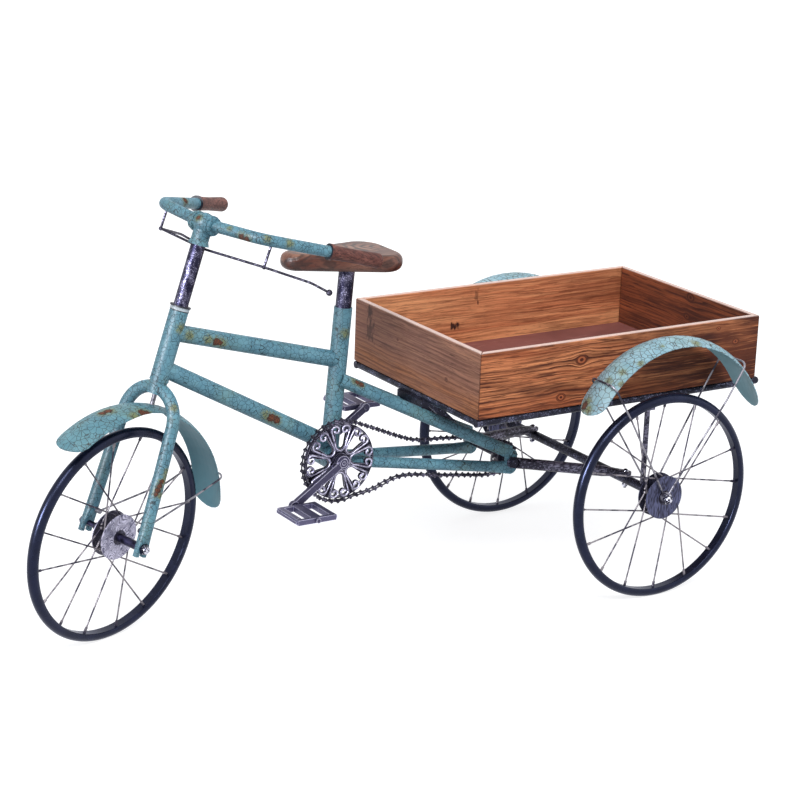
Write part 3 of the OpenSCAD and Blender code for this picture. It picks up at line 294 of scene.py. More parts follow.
def crackle_paint(
    name, plate, crisp, tones, chips=(), blooms=(), under=None, pale=0.0, banded=None,
):
    """crisp is 1 for wide even gaps and 0 for hair lines. under is the point that the inside
    of a fender faces, pale makes that side lighter, and banded may add rings over the paint."""
    f = Finish(name, IOR=1.5, Specular_IOR_Level=0.42)
    place = f.place()
    gaps, wide, plates, grit = crackle(f, place, plate, crisp)
    lit, dull, deep = tones
    cloud = f.noise(place, 45, 5).ramp(0.3, 0.7)
    paint = f.mix(cloud * 0.65 + plates * 0.35, dull, lit)
    paint = f.mix(f.noise(place, 620, 4).ramp(0.5, 0.72) * 0.28, paint, deep)
    patina = f.noise(f.from_point(place, (0.31, 0.17, 0.05)), 15, 4, 0.6).ramp(0.5, 0.7)
    paint = f.mix(patina * 0.2, paint, PATINA)
    gap_colour = f.mix(max(0.0, crisp - 0.7) * 3.3, BLACK_GAP, BROWN_GAP)
    gap_colour = f.mix(patina * 0.35, gap_colour, PATINA_GAP)
    rust = 0.0
    if blooms or chips:
        ragged = f.noise(place, 260, 5) * 1.6 - 0.8
        halos = [(p, r * BLOOM_REACH) for p, r in blooms] + [(p, r * CHIP_HALO) for p, r in chips]
        rim = (nearest(f, place, halos) * 0.62 + ragged * 0.9).ramp(1.25, 0.25)
        paint = f.mix(rim * 0.8, paint, f.mix(grit.ramp(0.35, 0.65), *OLIVES))
        gaps = gaps.most(rim * wide.ramp(0.0, 0.3) * 0.9)
    if chips:
        to_chip = nearest(f, place, chips) + ragged * 0.7
        rust = to_chip.ramp(1.15, 0.9)
        primer = f.mix(f.noise(place, 420, 3).ramp(0.38, 0.62), *PRIMERS)
        paint = f.mix(rust, paint, f.mix(to_chip.ramp(0.35, 0.95) * 0.8, primer, CHIP_RIM))
    colour = f.mix(gaps * (1 - rust), paint, gap_colour)
    if under is not None:
        inward = f.dot(f.facing(), f.from_point(place, under)).ramp(0.01, -0.01)
        flat = f.mix(pale, f.mix(f.noise(place, 40, 4), *UNDERSIDES), PALE_UNDERSIDE)
        colour = f.mix(inward, colour, flat)
        gaps = gaps * (1 - inward)
    if banded is not None:
        colour = banded(f, place, colour)
    rough = 0.38 + 0.25 * gaps + 0.1 * grit + 0.25 * rust
    return f.finish(colour, rough, 1 - gaps - 0.8 * rust, 0.0003, 0.5)


print("crackle paint ready")

# %% Paint for the plain tubes
TUBE_PLATE, FENDER_PLATE, FRONT_FENDER_PLATE = 0.0085, 0.0108, 0.0092
TUBE_CRISP, FENDER_CRISP, FRONT_FENDER_CRISP = 0.55, 0.85, 0.75
TUBE_TONES = (rgb(112, 163, 180), rgb(86, 136, 156), rgb(50, 94, 112))
# The rear fenders use a paler copy of the tube paint: painted light, for the strong light on their
# broad tops.
LIT_FENDER_TONES = (rgb(166, 201, 212), rgb(132, 174, 190), rgb(104, 146, 164))
FRONT_FENDER_TONES = (rgb(114, 163, 175), rgb(90, 139, 154), rgb(56, 98, 112))
tube_paint = crackle_paint("crackle_paint", TUBE_PLATE, TUBE_CRISP, TUBE_TONES)
print("paint on:", tube_paint.name)

# %% [markdown]
# ## Iron and steel
# The cart is dark iron that was rubbed with silver along its high spots. One dark colour
# and one light one, mixed by a noise with a hard edge, read as rubbed metal as long as the
# two differ in roughness too. Hammer marks are left to the bump: they break the long
# highlight of a bar into the short dashes that the photograph shows.

# %% Rubbed metal
def rubbed_metal(name, dark, light, amount, grain, metal, dents, along=(1, 1, 1), hammer=190):
    """amount is the share that is rubbed bright, and grain and hammer are marks per metre."""
    f = Finish(name, Specular_IOR_Level=0.3)
    place = f.stretch(f.place(), along)
    patch = f.noise(place, grain, 4, 0.3)
    slow = f.noise(place, grain * 0.12, 3)
    shine = (patch + 0.35 * slow).ramp(0.86 - amount, 0.98 - amount)
    hammered = f.cells(f.shiver(place, 90, 0.002), hammer, "SMOOTH_F1")
    colour = f.mix(shine, dark, light)
    colour = f.mix(slow.ramp(0.35, 0.75) * 0.14, colour, light)
    rough = 0.4 - 0.1 * shine + 0.1 * slow
    return f.finish(colour, rough, hammered + 0.3 * patch, dents, 0.6, Metallic=metal)


iron = rubbed_metal("hammered_iron", rgb(30, 30, 42), rgb(116, 118, 146), 0.12, 420, 0.7, 0.0006)
bar_iron = rubbed_metal(
    "brushed_iron", rgb(38, 36, 50), rgb(122, 119, 140), 0.2, 420, 0.5, 0.0003, (0.25, 1, 1), 260,
)
post_iron = rubbed_metal(
    "rubbed_post", rgb(32, 31, 50), rgb(176, 172, 204), 0.12, 880, 0.9, 0.0002, (1, 1, 0.6), 520,
)
steel = rubbed_metal("dark_steel", rgb(50, 47, 66), rgb(146, 140, 146), 0.26, 48, 0.4, 0.0001)
wire_steel = rubbed_metal("stay_wire", rgb(50, 47, 62), rgb(150, 147, 156), 0.28, 40, 0.3, 0.0001)
chain_steel = rubbed_metal(
    "chain_links", rgb(38, 36, 50), rgb(132, 128, 150), 0.14, 300, 0.7, 0.0002,
)
print("metals:", iron.name, steel.name, chain_steel.name)

# %% [markdown]
# ## Bright nuts on a dark axle
# The axle through the front wheel is one dark sleeve with chromed nuts outside the fork.
# Both are in one solid, so the shader measures how far a point is along the axle and
# gives what lies outside the fork's tips the bright finish.

# %% Axles and nuts
FRONT_AXLE = Vector((-0.512, 0, 0.189087))
STEER_BACK = Vector((0.901757, 0.325568, -0.284323))
STEER_FAR = Vector((-0.3105, 0.945519, 0.0979))
STEER_UP = Vector((0.300706, 0, 0.953717))
REAR_AXLE_X, HALF_TRACK, WHEEL_RADIUS = 0.445, 0.252, 0.190
REAR_WHEELS = {
    "near": (REAR_AXLE_X, -HALF_TRACK, WHEEL_RADIUS),
    "far": (REAR_AXLE_X, HALF_TRACK, WHEEL_RADIUS),
}
FORK_OUTSIDE, NUT_RADIUS = 0.0722, 0.0068


def axle_finish(name, centre=None, axle=None):
    """Bright metal. With a centre and an axle, bright only outside the fork."""
    f = Finish(name)
    place = f.place()
    cloud = f.noise(place, 90, 3)
    patches = f.noise(place, 240, 2, 0.6)
    chrome = f.mix(patches.ramp(0.44, 0.52), rgb(208, 208, 220), rgb(40, 40, 58))
    if centre is None:
        return f.finish(chrome, 0.22 + 0.1 * cloud, cloud, 0.0001, 0.2, Metallic=0.95)
    dark = f.mix(cloud.ramp(0.35, 0.65), rgb(24, 23, 38), rgb(62, 60, 88))
    local = f.from_point(place, centre)
    along = f.dot(local, tuple(axle)).unsigned()
    radius = (f.dot(local, local) - along * along).most(0.0) ** 0.5
    slim = 0.35 + 0.65 * radius.ramp(NUT_RADIUS + 0.001, NUT_RADIUS)
    outside = along.ramp(FORK_OUTSIDE, FORK_OUTSIDE + 0.0004) * slim
    colour = f.mix(outside, dark, chrome)
    return f.finish(colour, 0.32 - 0.1 * outside, cloud, 0.0001, 0.2, Metallic=0.9)


bright = axle_finish("bright_nuts")
front_axle_look = axle_finish("bright_nuts_front", FRONT_AXLE, STEER_FAR)
print("nuts:", bright.name, front_axle_look.name)

# %% [markdown]
# ## Antique castings
# The chainring, cranks and pedals are cast pieces that were blackened, then wiped: dark
# lies in the hollows and silver stays on edges and ridges. The Bevel node turns the
# normal near an edge, and where it differs from the flat one, metal shows. The lavender
# of the silver comes from the blue-black under it.

# %% Castings
def cast_metal(name, dark, light, edge_width, wiped):
    """edge_width in metres is wiped bright at each edge, wiped is the share of it elsewhere."""
    f = Finish(name)
    place = f.place()
    eased = f.add("ShaderNodeBevel", {"samples": 6}, {"Radius": edge_width})
    edge = (1 - f.dot(eased, f.facing())).ramp(0.01, 0.12)
    cloud = f.noise(place, 95, 5, 0.5)
    grain = f.noise(f.stretch(place, (1, 1, 2)), 420, 4, 0.4)
    rubbed = (cloud * 0.65 + grain * 0.35).ramp(0.78 - wiped * 0.5, 1.0 - wiped * 0.5)
    shine = edge.most(rubbed)
    colour = f.mix(shine, dark, light)
    return f.finish(colour, 0.42 - 0.14 * shine, grain + cloud, 0.0007, 0.45, Metallic=0.85)


casting = cast_metal("antique_casting", rgb(70, 67, 90), rgb(214, 211, 234), 0.0023, 0.42)
ring_casting = cast_metal("antique_ring", rgb(26, 24, 38), rgb(198, 195, 222), 0.0009, 0.2)
pedal_casting = cast_metal("antique_pedal", rgb(92, 89, 116), rgb(214, 212, 238), 0.0018, 0.4)
bead_silver = cast_metal("antique_silver", rgb(98, 94, 120), rgb(222, 219, 242), 0.0014, 0.82)
print("castings:", casting.name, ring_casting.name, pedal_casting.name, bead_silver.name)

# %% [markdown]
# ## Hoops and hubs
# The hoops are bent tube in satin blue-black. The hub faces were brushed by hand, so the
# strokes curl on the front wheel and run in wavy lines, like wood grain, on the rear
# ones. Both are contour lines of a cloud: where a noise passes a whole number of steps, a
# stroke is drawn. The face is told from the barrel by its distance from the axle.

# %% Hoop finish
def hoop_finish():
    f = Finish("tyre_hoop", Specular_Tint=rgb(186, 198, 250), Specular_IOR_Level=0.36)
    place = f.place()
    haze = f.noise(place, 40, 5)
    colour = f.mix(haze.ramp(0.35, 0.7), rgb(18, 20, 34), rgb(27, 30, 50))
    flecks = f.noise(place, 500, 3).ramp(0.62, 0.75) * 0.3
    colour = f.mix(flecks, colour, rgb(64, 70, 112))
    dents = f.noise(place, 260, 4)
    return f.finish(colour, 0.22 + 0.1 * haze, dents, 0.0002, 0.2, Metallic=0.15)


hoop_blue = hoop_finish()
print("hoops:", hoop_blue.name)

# %% Hub finishes
BARREL_TONES = (rgb(28, 27, 40), rgb(62, 60, 80))
CURLS = (rgb(206, 203, 224), rgb(92, 90, 116))
WAVES = (rgb(84, 87, 120), rgb(34, 34, 54))
BARREL_RADIUS, FACE_FROM = 0.013, 0.0095


def hub_finish(name, centre, axle, tones, scale, steps, swirl, grain=(1, 1, 1), detail=2):
    """steps is how many strokes the cloud is cut into, and grain stretches them."""
    f = Finish(name)
    place = f.place()
    local = f.from_point(place, centre)
    along = f.dot(local, tuple(axle))
    radius = (f.dot(local, local) - along * along).most(0.0) ** 0.5
    bent = f.stretch(place, grain)
    cloud = f.noise(bent, scale, detail, swirl)
    lines = ((cloud * steps).rest() - 0.5).unsigned() * 2
    broken = f.noise(bent, scale * 5, 3, 0.8)
    mark = (lines * 0.45 + broken * 0.75 + cloud * 0.3).ramp(0.52, 0.96)
    outside = along.unsigned().ramp(FACE_FROM, FACE_FROM + 0.0015)
    face = outside * radius.ramp(BARREL_RADIUS, BARREL_RADIUS + 0.0008)
    light, dark = tones
    barrel = f.mix(broken.ramp(0.4, 0.6), *BARREL_TONES)
    colour = f.mix(face, barrel, f.mix(mark, dark, light))
    return f.finish(colour, 0.5 - 0.14 * mark, mark * face, 0.0003, 0.4, Metallic=0.55)


front_face = hub_finish("scratched_hub", FRONT_AXLE, STEER_FAR, CURLS, 34, 20, 1.0, detail=0)
rear_faces = [
    hub_finish(f"scratched_hub_{side}", spot, (0, 1, 0), WAVES, 34, 10, 0.4, (2.6, 1, 0.45))
    for side, spot in REAR_WHEELS.items()
]
print("hubs:", front_face.name, [m.name for m in rear_faces])

# %% [markdown]
# ## Pine boards
# Pine shows soft wide bands between thin dark lines: pale wood grown in spring turns
# slowly into dark wood grown in late summer, and then the next year starts at once. A saw
# wave of the height on the board does just that. The board is cut from one trunk, so the
# pattern is stretched along it, and each knot pushes the lines apart as a stone does in
# a stream. Faces that point up are pale, partly as bare sawn wood and partly as a painted
# highlight from the lamp above. Worn edges are pale too, and the corners where two boards
# meet are dark.

# %% Year lines and knots
NEAR_TONES = (rgb(244, 160, 108), rgb(184, 101, 63), rgb(64, 26, 16))
FAR_TONES = (rgb(250, 176, 124), rgb(214, 132, 90), rgb(92, 44, 28))
REAR_TONES = (rgb(174, 96, 58), rgb(132, 68, 40), rgb(62, 28, 18))
GREY_TONES = (rgb(208, 148, 117), rgb(166, 114, 95), rgb(70, 38, 32))
WARM_BROWN, SHADED_BROWN, VIOLET = rgb(206, 132, 84), rgb(78, 34, 20), rgb(104, 76, 80)
# The pale wood stands for worn edges and bare sawn tops, and on upward faces also for a painted
# highlight.
STAIN_BROWN, JOINT_BROWN, BARE_AND_LIT_WOOD = rgb(52, 28, 26), rgb(52, 28, 24), rgb(236, 210, 200)
KNOT_STRETCH, KNOT_PUSH = 1.35, 0.95


def year_lines(height):
    """Dark just before each step of the height, pale just after it."""
    saw = height.rest()
    return saw.ramp(0.42, 0.94) * saw.ramp(1.0, 0.95)


def bent_by_knots(f, place, run, high, rise, knots):
    """The height on the board as the knots push it, and how far the nearest knot is."""
    to_knot = None
    for where, height, size in knots:
        beside, above = (run - where) / (size * KNOT_STRETCH), (high - height) / size
        far = (beside * beside + above * above) * (0.55 + 0.9 * f.noise(place, 60, 2))
        rise = rise - (high - height) * KNOT_PUSH / far.most(0.8)
        to_knot = far if to_knot is None else to_knot.least(far)
    return rise, to_knot


def dark_knots(f, wood, to_knot, bands, fibre, mid, dark):
    """Rings inside each knot, a dark outline and a dark heart."""
    rings = year_lines(to_knot ** 0.5 * 1.6 + bands)
    outline = to_knot.ramp(1.7, 1.15) * to_knot.ramp(0.6, 0.95)
    inside = f.mix(rings.most(fibre.ramp(0.4, 0.7) * 0.6), mid, dark)
    wood = f.mix(to_knot.ramp(1.2, 0.9), wood, inside)
    wood = f.mix(outline * 0.7, wood, dark)
    return f.mix(to_knot.ramp(0.2, 0.08) * 0.9, wood, dark)


print("year lines and knots ready")

# %% Stains and worn edges
def stained(f, place, wood, run, high, fibre, stains):
    """Ragged dark marks; each is a place, a height, two half sizes and a depth."""
    for where, height, half_run, half_high, depth in stains:
        beside = ((run - where) / half_run).unsigned()
        inside = beside.most(((high - height) / half_high).unsigned())
        ragged = f.noise(f.stretch(place, (1, 1, 0.4)), 160, 4) * 2.4 + fibre * 0.4
        wood = f.mix((inside + ragged).ramp(2.3, 1.7) * depth, wood, STAIN_BROWN)
    return wood


def sawn_edges(f, place, wood, node, along, fibre):
    """Dark at the joints and pale along the worn edges. Faces that point up are pale too:
    bare sawn wood, with a painted highlight from the lamp above.
    """
    low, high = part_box(node)
    gaps = [(a - (low[i] + high[i]) / 2).unsigned() for i, a in enumerate(f.parts(place))]
    rooms = [(high[i] - low[i]) / 2 - gap for i, gap in enumerate(gaps)]
    lowest = rooms[0].least(rooms[1]).least(rooms[2])
    highest = rooms[0].most(rooms[1]).most(rooms[2])
    to_edge = rooms[0] + rooms[1] + rooms[2] - lowest - highest
    joint = (rooms[along] + f.noise(place, 160, 3) * 0.002).ramp(0.0034, 0.0018) * 0.75
    wood = f.mix(joint, wood, JOINT_BROWN)
    worn = (to_edge + f.noise(place, 120, 3) * 0.003).ramp(0.0024, 0.0012)
    # Faces that point up turn pale: partly bare sawn wood, partly a painted highlight from above.
    top = f.parts(f.facing())[2].ramp(0.5, 0.95)
    bare_and_lit = (worn * 0.25 * (1 - joint)).most(top * (0.78 + 0.22 * fibre))
    return f.mix(bare_and_lit, wood, BARE_AND_LIT_WOOD)


print("stains and edges ready")

# %% Pine
FRONT_TO_BACK, SIDE_TO_SIDE = 0, 1


def pine(name, node, along, tones, phase=0.0, knots=(), tints=(), violet=0.0, stains=(), lines=1.0):
    """phase picks another part of the trunk, and lines is how strong the grain is."""
    f = Finish(name, IOR=1.45, Specular_IOR_Level=0.22)
    place = f.place()
    axes = f.parts(f.shiver(f.shiver(place, 7, 0.004), 60, 0.0005))
    run, high, thick = axes[along], axes[2], axes[1 - along]
    rise, to_knot = bent_by_knots(f, place, run, high, high + 0.4 * thick, knots)

    def cloud(lengthwise, inward, per_rise, detail, swirl=0.0):
        """A noise stretched along the board."""
        return f.noise(f.joined(lengthwise, inward, rise * per_rise), 1.0, detail, swirl)

    bands = cloud(run * 1.8 + phase, thick * 6, 26, 4, 0.4)
    fibre = cloud(run * 8 + phase, thick * 60, 330, 4, 0.1)
    blotch = cloud(run * 3.5 + phase, thick * 6, 17, 3, 0.5)
    strength = cloud(run * 4, phase, 34, 3).ramp(0.36, 0.62)
    glints = cloud(run * 12, phase, 300, 4)
    nicks = cloud(run * 16, phase, 260, 4, 0.3).ramp(0.55, 0.64)
    late = year_lines(rise * 118 + bands * 5)
    thin = year_lines(rise * 300 + bands * 16)
    pore_stretch = (55, 800, 800) if along == FRONT_TO_BACK else (800, 55, 800)
    pores = f.noise(f.stretch(place, pore_stretch), 1.0, 2).ramp(0.58, 0.7)
    pale, mid, dark = tones
    wood = f.mix(bands.ramp(0.32, 0.68), pale, mid)
    for axis, start, end, depth, tone in tints:
        share = (run if axis == "run" else high).ramp(start, end)
        wood = f.mix(share * (0.5 + strength) * depth, wood, tone)
    wood = f.mix(fibre.ramp(0.42, 0.66) * (0.24 + 0.36 * lines), wood, dark)
    wood = f.mix(glints.ramp(0.52, 0.68) * 0.5, wood, pale)
    for mask in (
        blotch.ramp(0.46, 0.7) * (0.5 * lines), thin * (0.26 * lines),
        late * (0.2 + 0.75 * strength) * lines, nicks * (0.7 * lines), pores * 0.5,
    ):
        wood = f.mix(mask, wood, dark)
    wood = f.mix(f.noise(place, 9, 4).ramp(0.45, 0.75) * 0.25, wood, mid)
    if violet:
        wood = f.mix(f.noise(place, 6, 3).ramp(0.3, 0.62) * violet, wood, VIOLET)
    if knots:
        wood = dark_knots(f, wood, to_knot, bands, fibre, mid, dark)
    wood = stained(f, place, wood, run, high, fibre, stains)
    wood = sawn_edges(f, place, wood, node, along, fibre)
    height = 1 - late * 0.5 - pores * 0.5 - fibre * 0.3
    return f.finish(wood, 0.5 + 0.12 * fibre, height, 0.0005, 0.45)


print("pine is ready to be cut")

# %% Cut the four boards
near_pine = pine(
    "pine_board", "board_near", FRONT_TO_BACK, NEAR_TONES,
    knots=[
        (0.2876, 0.4497, 0.0085), (0.2462, 0.3858, 0.0065), (0.6311, 0.4444, 0.0052),
        (0.59, 0.474, 0.0032),
    ],
    tints=[("run", 0.28, 0.64, 0.95, SHADED_BROWN)], lines=1.1,
)
far_pine = pine(
    "pine_board_far", "board_far", FRONT_TO_BACK, FAR_TONES, 4.3, lines=0.6,
    stains=[
        (0.333, 0.466, 0.006, 0.016, 0.5), (0.336, 0.453, 0.0025, 0.008, 0.8),
        # A small, nearly black rectangle, drawn the same way as the stains.
        (0.2858, 0.4110, 0.013, 0.009, 0.98),
    ],
)
rear_pine = pine(
    "pine_board_rear", "board_rear", SIDE_TO_SIDE, REAR_TONES, 8.1,
    knots=[(-0.0222, 0.476, 0.007), (-0.0143, 0.4375, 0.0055)],
)
front_pine = pine(
    "grey_pine_board", "board_front", SIDE_TO_SIDE, GREY_TONES, 2.2,
    knots=[(-0.1044, 0.4141, 0.0028), (0.0584, 0.4452, 0.0022)],
    tints=[("high", 0.435, 0.375, 0.7, WARM_BROWN)], violet=0.12, lines=0.52,
    stains=[
        (0.155, 0.470, 0.011, 0.019, 0.85), (0.151, 0.436, 0.017, 0.023, 0.65),
        (-0.119, 0.461, 0.011, 0.0016, 0.7),
    ],
)
print("boards:", near_pine.name, far_pine.name, rear_pine.name, front_pine.name)

# %% [markdown]
# ## Turned wood and the tray's floor
# The saddle is carved from one block, and its end shows rings that close round one spot,
# as the end of a trunk does. Spheres round a point inside the wood draw such rings on any
# shape. The grips are plain straight wood; the face of their inner end carries painted
# shade, where the grip meets the bar.

# %% Saddle
def ringed_wood(name, centre, dark, mid, light):
    """Bands round a centre, closest and strongest near it. Near it the wood between the
    rings is also lighter: partly paler wood, partly a painted highlight.
    """
    f = Finish(name, IOR=1.5, Coat_Weight=0.1, Coat_Roughness=0.25, Specular_IOR_Level=0.35)
    place = f.place()
    figure = f.noise(f.stretch(place, (0.5, 1, 1.4)), 16, 3, 0.6)
    flat = f.stretch(f.from_point(place, centre), (0.45, 1, 1.25))
    away = f.vector("LENGTH", flat, output="Value")
    rings = (((away * 125 + figure * 5).rest() - 0.5).unsigned() * 2).ramp(0.3, 0.8)
    streak = f.noise(f.stretch(place, (0.3, 1.6, 1.6)), 240, 4, 0.6)
    heart_and_highlight = away.ramp(0.06, 0.02)
    colour = f.mix(figure.ramp(0.42, 0.7), mid, light)
    colour = f.mix(rings * (0.66 + 0.26 * heart_and_highlight), colour, dark)
    colour = f.mix(streak.ramp(0.46, 0.7) * 0.6, colour, dark)
    # Lighter between the rings close to the heart: paler wood with a painted highlight on the
    # saddle's rear end.
    colour = f.mix(heart_and_highlight * 0.4 * (1 - rings), colour, light)
    return f.finish(colour, 0.32 + 0.16 * streak, streak - rings, 0.0003, 0.35)


saddle_low, saddle_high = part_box("saddle")
saddle_heart = (saddle_high[0] - 0.012, 0.006, (saddle_low[2] + saddle_high[2]) / 2 - 0.002)
saddle_wood = ringed_wood(
    "saddle_wood", saddle_heart, rgb(40, 18, 14), rgb(96, 50, 37), rgb(164, 118, 98),
)
print("saddle:", saddle_wood.name)

# %% Grips
GRIP_TONES, GRIP_END_SHADE = (rgb(52, 26, 24), rgb(92, 48, 41), rgb(132, 82, 72)), rgb(26, 24, 36)


def grip_finish(name, node, sweep):
    """Grain along the grip. sweep is the sideways part of the way inward from its end."""
    f = Finish(name, IOR=1.5, Specular_IOR_Level=0.3)
    middle = sum((Vector(c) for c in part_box(node)), Vector()) / 2
    inward = tuple((sweep - STEER_BACK * 1.1).normalized())
    dark, mid, light = GRIP_TONES
    local = f.from_point(f.place(), middle)
    lengthwise = f.vector("SCALE", inward, Scale=f.dot(local, inward) * 0.8)
    squeezed = f.vector("SUBTRACT", local, lengthwise)
    figure = f.noise(squeezed, 90, 4, 0.6)
    streak = f.noise(squeezed, 420, 4, 0.3)
    colour = f.mix(figure.ramp(0.35, 0.65), mid, light)
    colour = f.mix(streak.ramp(0.42, 0.66) * 0.8, colour, dark)
    # The face of the inner end is painted near-black: painted shade where the grip meets the bar.
    colour = f.mix(f.dot(f.facing(), inward).ramp(0.45, 0.75), colour, GRIP_END_SHADE)
    return f.finish(colour, 0.42 + 0.16 * streak, streak, 0.0004, 0.4)


near_grip_wood = grip_finish("grip_wood", "grip_near", STEER_FAR)
far_grip_wood = grip_finish("grip_wood_far", "grip_far", -STEER_FAR)
print("grips:", near_grip_wood.name, far_grip_wood.name)

# %% Floor panel
def floor_finish():
    f = Finish("floor_panel", IOR=1.45, Specular_IOR_Level=0.3)
    place = f.place()
    cloud = f.noise(place, 8, 5, 0.8)
    colour = f.mix(cloud.ramp(0.3, 0.7), rgb(112, 66, 62), rgb(136, 84, 78))
    scuff = f.noise(f.stretch(place, (12, 60, 60)), 1.0, 5, 1.2).ramp(0.58, 0.74)
    colour = f.mix(scuff * 0.35, colour, rgb(170, 124, 116))
    return f.finish(colour, 0.55 + 0.1 * cloud, cloud, 0.0003, 0.2)


panel = floor_finish()
print("floor:", panel.name)

# %% [markdown]
# ## Chips that the photograph shows
# Each chip and each olive bloom was found by following a pixel of the photograph along
# the camera's ray to the solid. They are given in metres with a radius.

# %% Chips and blooms
CHIPS = {
    "handlebar": [
        ((-0.3061, 0.1517, 0.7128), 0.006), ((-0.3221, -0.0789, 0.699), 0.006),
        ((-0.317, -0.0886, 0.697), 0.0058),
    ],
    "bar_clamp": [((-0.3616, -0.0033, 0.7201), 0.004)],
    "front_fender": [
        ((-0.5454, -0.0259, 0.4147), 0.0065), ((-0.5344, -0.0241, 0.4162), 0.0075),
        ((-0.4786, -0.0372, 0.4099), 0.0078), ((-0.4686, -0.0372, 0.4080), 0.0068),
    ],
    "fork_leg_near": [
        ((-0.4576, -0.0684, 0.2959), 0.0042), ((-0.4616, -0.0686, 0.2893), 0.0048),
        ((-0.4656, -0.0685, 0.2821), 0.0048), ((-0.4684, -0.0684, 0.2757), 0.004),
    ],
    "top_tube": [((-0.3307, -0.0143, 0.5063), 0.0068), ((-0.3240, -0.0143, 0.5042), 0.005)],
    "down_tube": [((-0.2227, -0.0145, 0.3594), 0.0078), ((-0.2118, -0.0145, 0.3536), 0.0066)],
    "seat_stay_near": [((-0.059, -0.025, 0.4048), 0.0046), ((-0.0517, -0.0265, 0.4006), 0.0052)],
    "fender_near": [((0.2737, -0.2392, 0.378), 0.0085)],
}
BLOOMS = {
    "handlebar": [
        ((-0.331, -0.0559, 0.7098), 0.006), ((-0.2905, -0.1116, 0.7013), 0.008),
        ((-0.2498, -0.1126, 0.6902), 0.009), ((-0.3061, 0.1517, 0.7128), 0.012),
    ],
    "bar_clamp": [((-0.3616, -0.0033, 0.7201), 0.009)],
    "front_fender": [
        ((-0.4963, -0.0468, 0.4089), 0.013), ((-0.4786, -0.0372, 0.4099), 0.01),
        ((-0.539, -0.025, 0.4155), 0.012),
    ],
    "fork_leg_near": [
        ((-0.448, -0.0667, 0.3119), 0.007), ((-0.4491, -0.0661, 0.3023), 0.009),
        ((-0.4539, -0.0678, 0.2948), 0.008), ((-0.4603, -0.0686, 0.2724), 0.007),
    ],
    "fork_crown": [((-0.4294, -0.0525, 0.4159), 0.008)],
    "head_tube": [((-0.3983, -0.0156, 0.5381), 0.01)],
    "top_tube": [
        ((-0.3461, -0.0145, 0.5125), 0.01), ((-0.3805, -0.0143, 0.5244), 0.01),
        ((-0.322, -0.0143, 0.5035), 0.012),
    ],
    "down_tube": [((-0.2345, -0.0145, 0.3669), 0.01)],
    "seat_tube": [((-0.0807, -0.0159, 0.4927), 0.01)],
    "seat_stay_near": [((-0.065, -0.0237, 0.4081), 0.008)],
    "fender_near": [
        ((0.2773, -0.2436, 0.3857), 0.011), ((0.2708, -0.254, 0.3754), 0.01),
        ((0.3074, -0.2592, 0.4239), 0.009), ((0.3286, -0.2694, 0.4399), 0.008),
        ((0.3594, -0.2798, 0.4547), 0.007), ((0.4129, -0.2704, 0.4771), 0.005),
        ((0.5724, -0.2215, 0.4318), 0.009), ((0.4815, -0.2775, 0.4758), 0.011),
        ((0.3172, -0.2825, 0.4234), 0.006),
    ],
}
print("chips:", sum(map(len, CHIPS.values())), "blooms:", sum(map(len, BLOOMS.values())))

# %% [markdown]
# ## The head tube's ring
# At the top of the head tube lies a thin black flange on a bare pale band, with one dark
# line under it. They are part of the same turned solid, so the paint ends where the
# distance along the steering axis says.

# %% Head tube
HEAD_TOP = 0.403
LINE_FROM, BAND_FROM, FLANGE_FROM = HEAD_TOP - 0.0094, HEAD_TOP - 0.0078, HEAD_TOP - 0.0024
EDGE = 0.0004


def head_rings(f, place, paint):
    """The paint, then a dark line, a pale band and the black flange."""
    rise = f.dot(f.from_point(place, FRONT_AXLE), tuple(STEER_UP))
    colour = f.mix(rise.ramp(LINE_FROM, LINE_FROM + EDGE), paint, rgb(24, 32, 44))
    colour = f.mix(rise.ramp(BAND_FROM, BAND_FROM + EDGE), colour, rgb(196, 208, 216))
    return f.mix(rise.ramp(FLANGE_FROM, FLANGE_FROM + 0.0003), colour, rgb(30, 32, 44))


head_paint = crackle_paint(
    "crackle_paint_head_tube", TUBE_PLATE, TUBE_CRISP, TUBE_TONES, (), BLOOMS["head_tube"],
    banded=head_rings,
)
print("head tube:", head_paint.name)

# %% [markdown]
# ## Give the finishes to the solids
# A CAD node keeps its mesh and gets a finish in its material slot. Each painted node has
# its own crackle only where chips or an underside make it differ.

# %% Paint with marks
def painted(node, plate=TUBE_PLATE, crisp=TUBE_CRISP, tones=TUBE_TONES, under=None, pale=0.0):
    marks = CHIPS.get(node, ()), BLOOMS.get(node, ())
    return crackle_paint(f"crackle_paint_{node}", plate, crisp, tones, *marks, under, pale)


MARKED_TUBES = (
    "top_tube", "down_tube", "seat_tube", "seat_stay_near", "fork_crown", "fork_leg_near",
    "bar_clamp", "handlebar",
)
REAR_FENDER_X, REAR_FENDER_Z, REAR_UNDERSIDE_PALE = 0.451, 0.280, 0.8
paints = {node: painted(node) for node in MARKED_TUBES}
# The rear fenders get the paler tones: painted light for their lit tops.
for node, y in (("fender_near", -HALF_TRACK), ("fender_far", HALF_TRACK)):
    middle = (REAR_FENDER_X, y, REAR_FENDER_Z)
    paints[node] = painted(
        node, FENDER_PLATE, FENDER_CRISP, LIT_FENDER_TONES, middle, REAR_UNDERSIDE_PALE,
    )
paints["front_fender"] = painted(
    "front_fender", FRONT_FENDER_PLATE, FRONT_FENDER_CRISP, FRONT_FENDER_TONES, FRONT_AXLE,
)
print("marked paints:", len(paints))

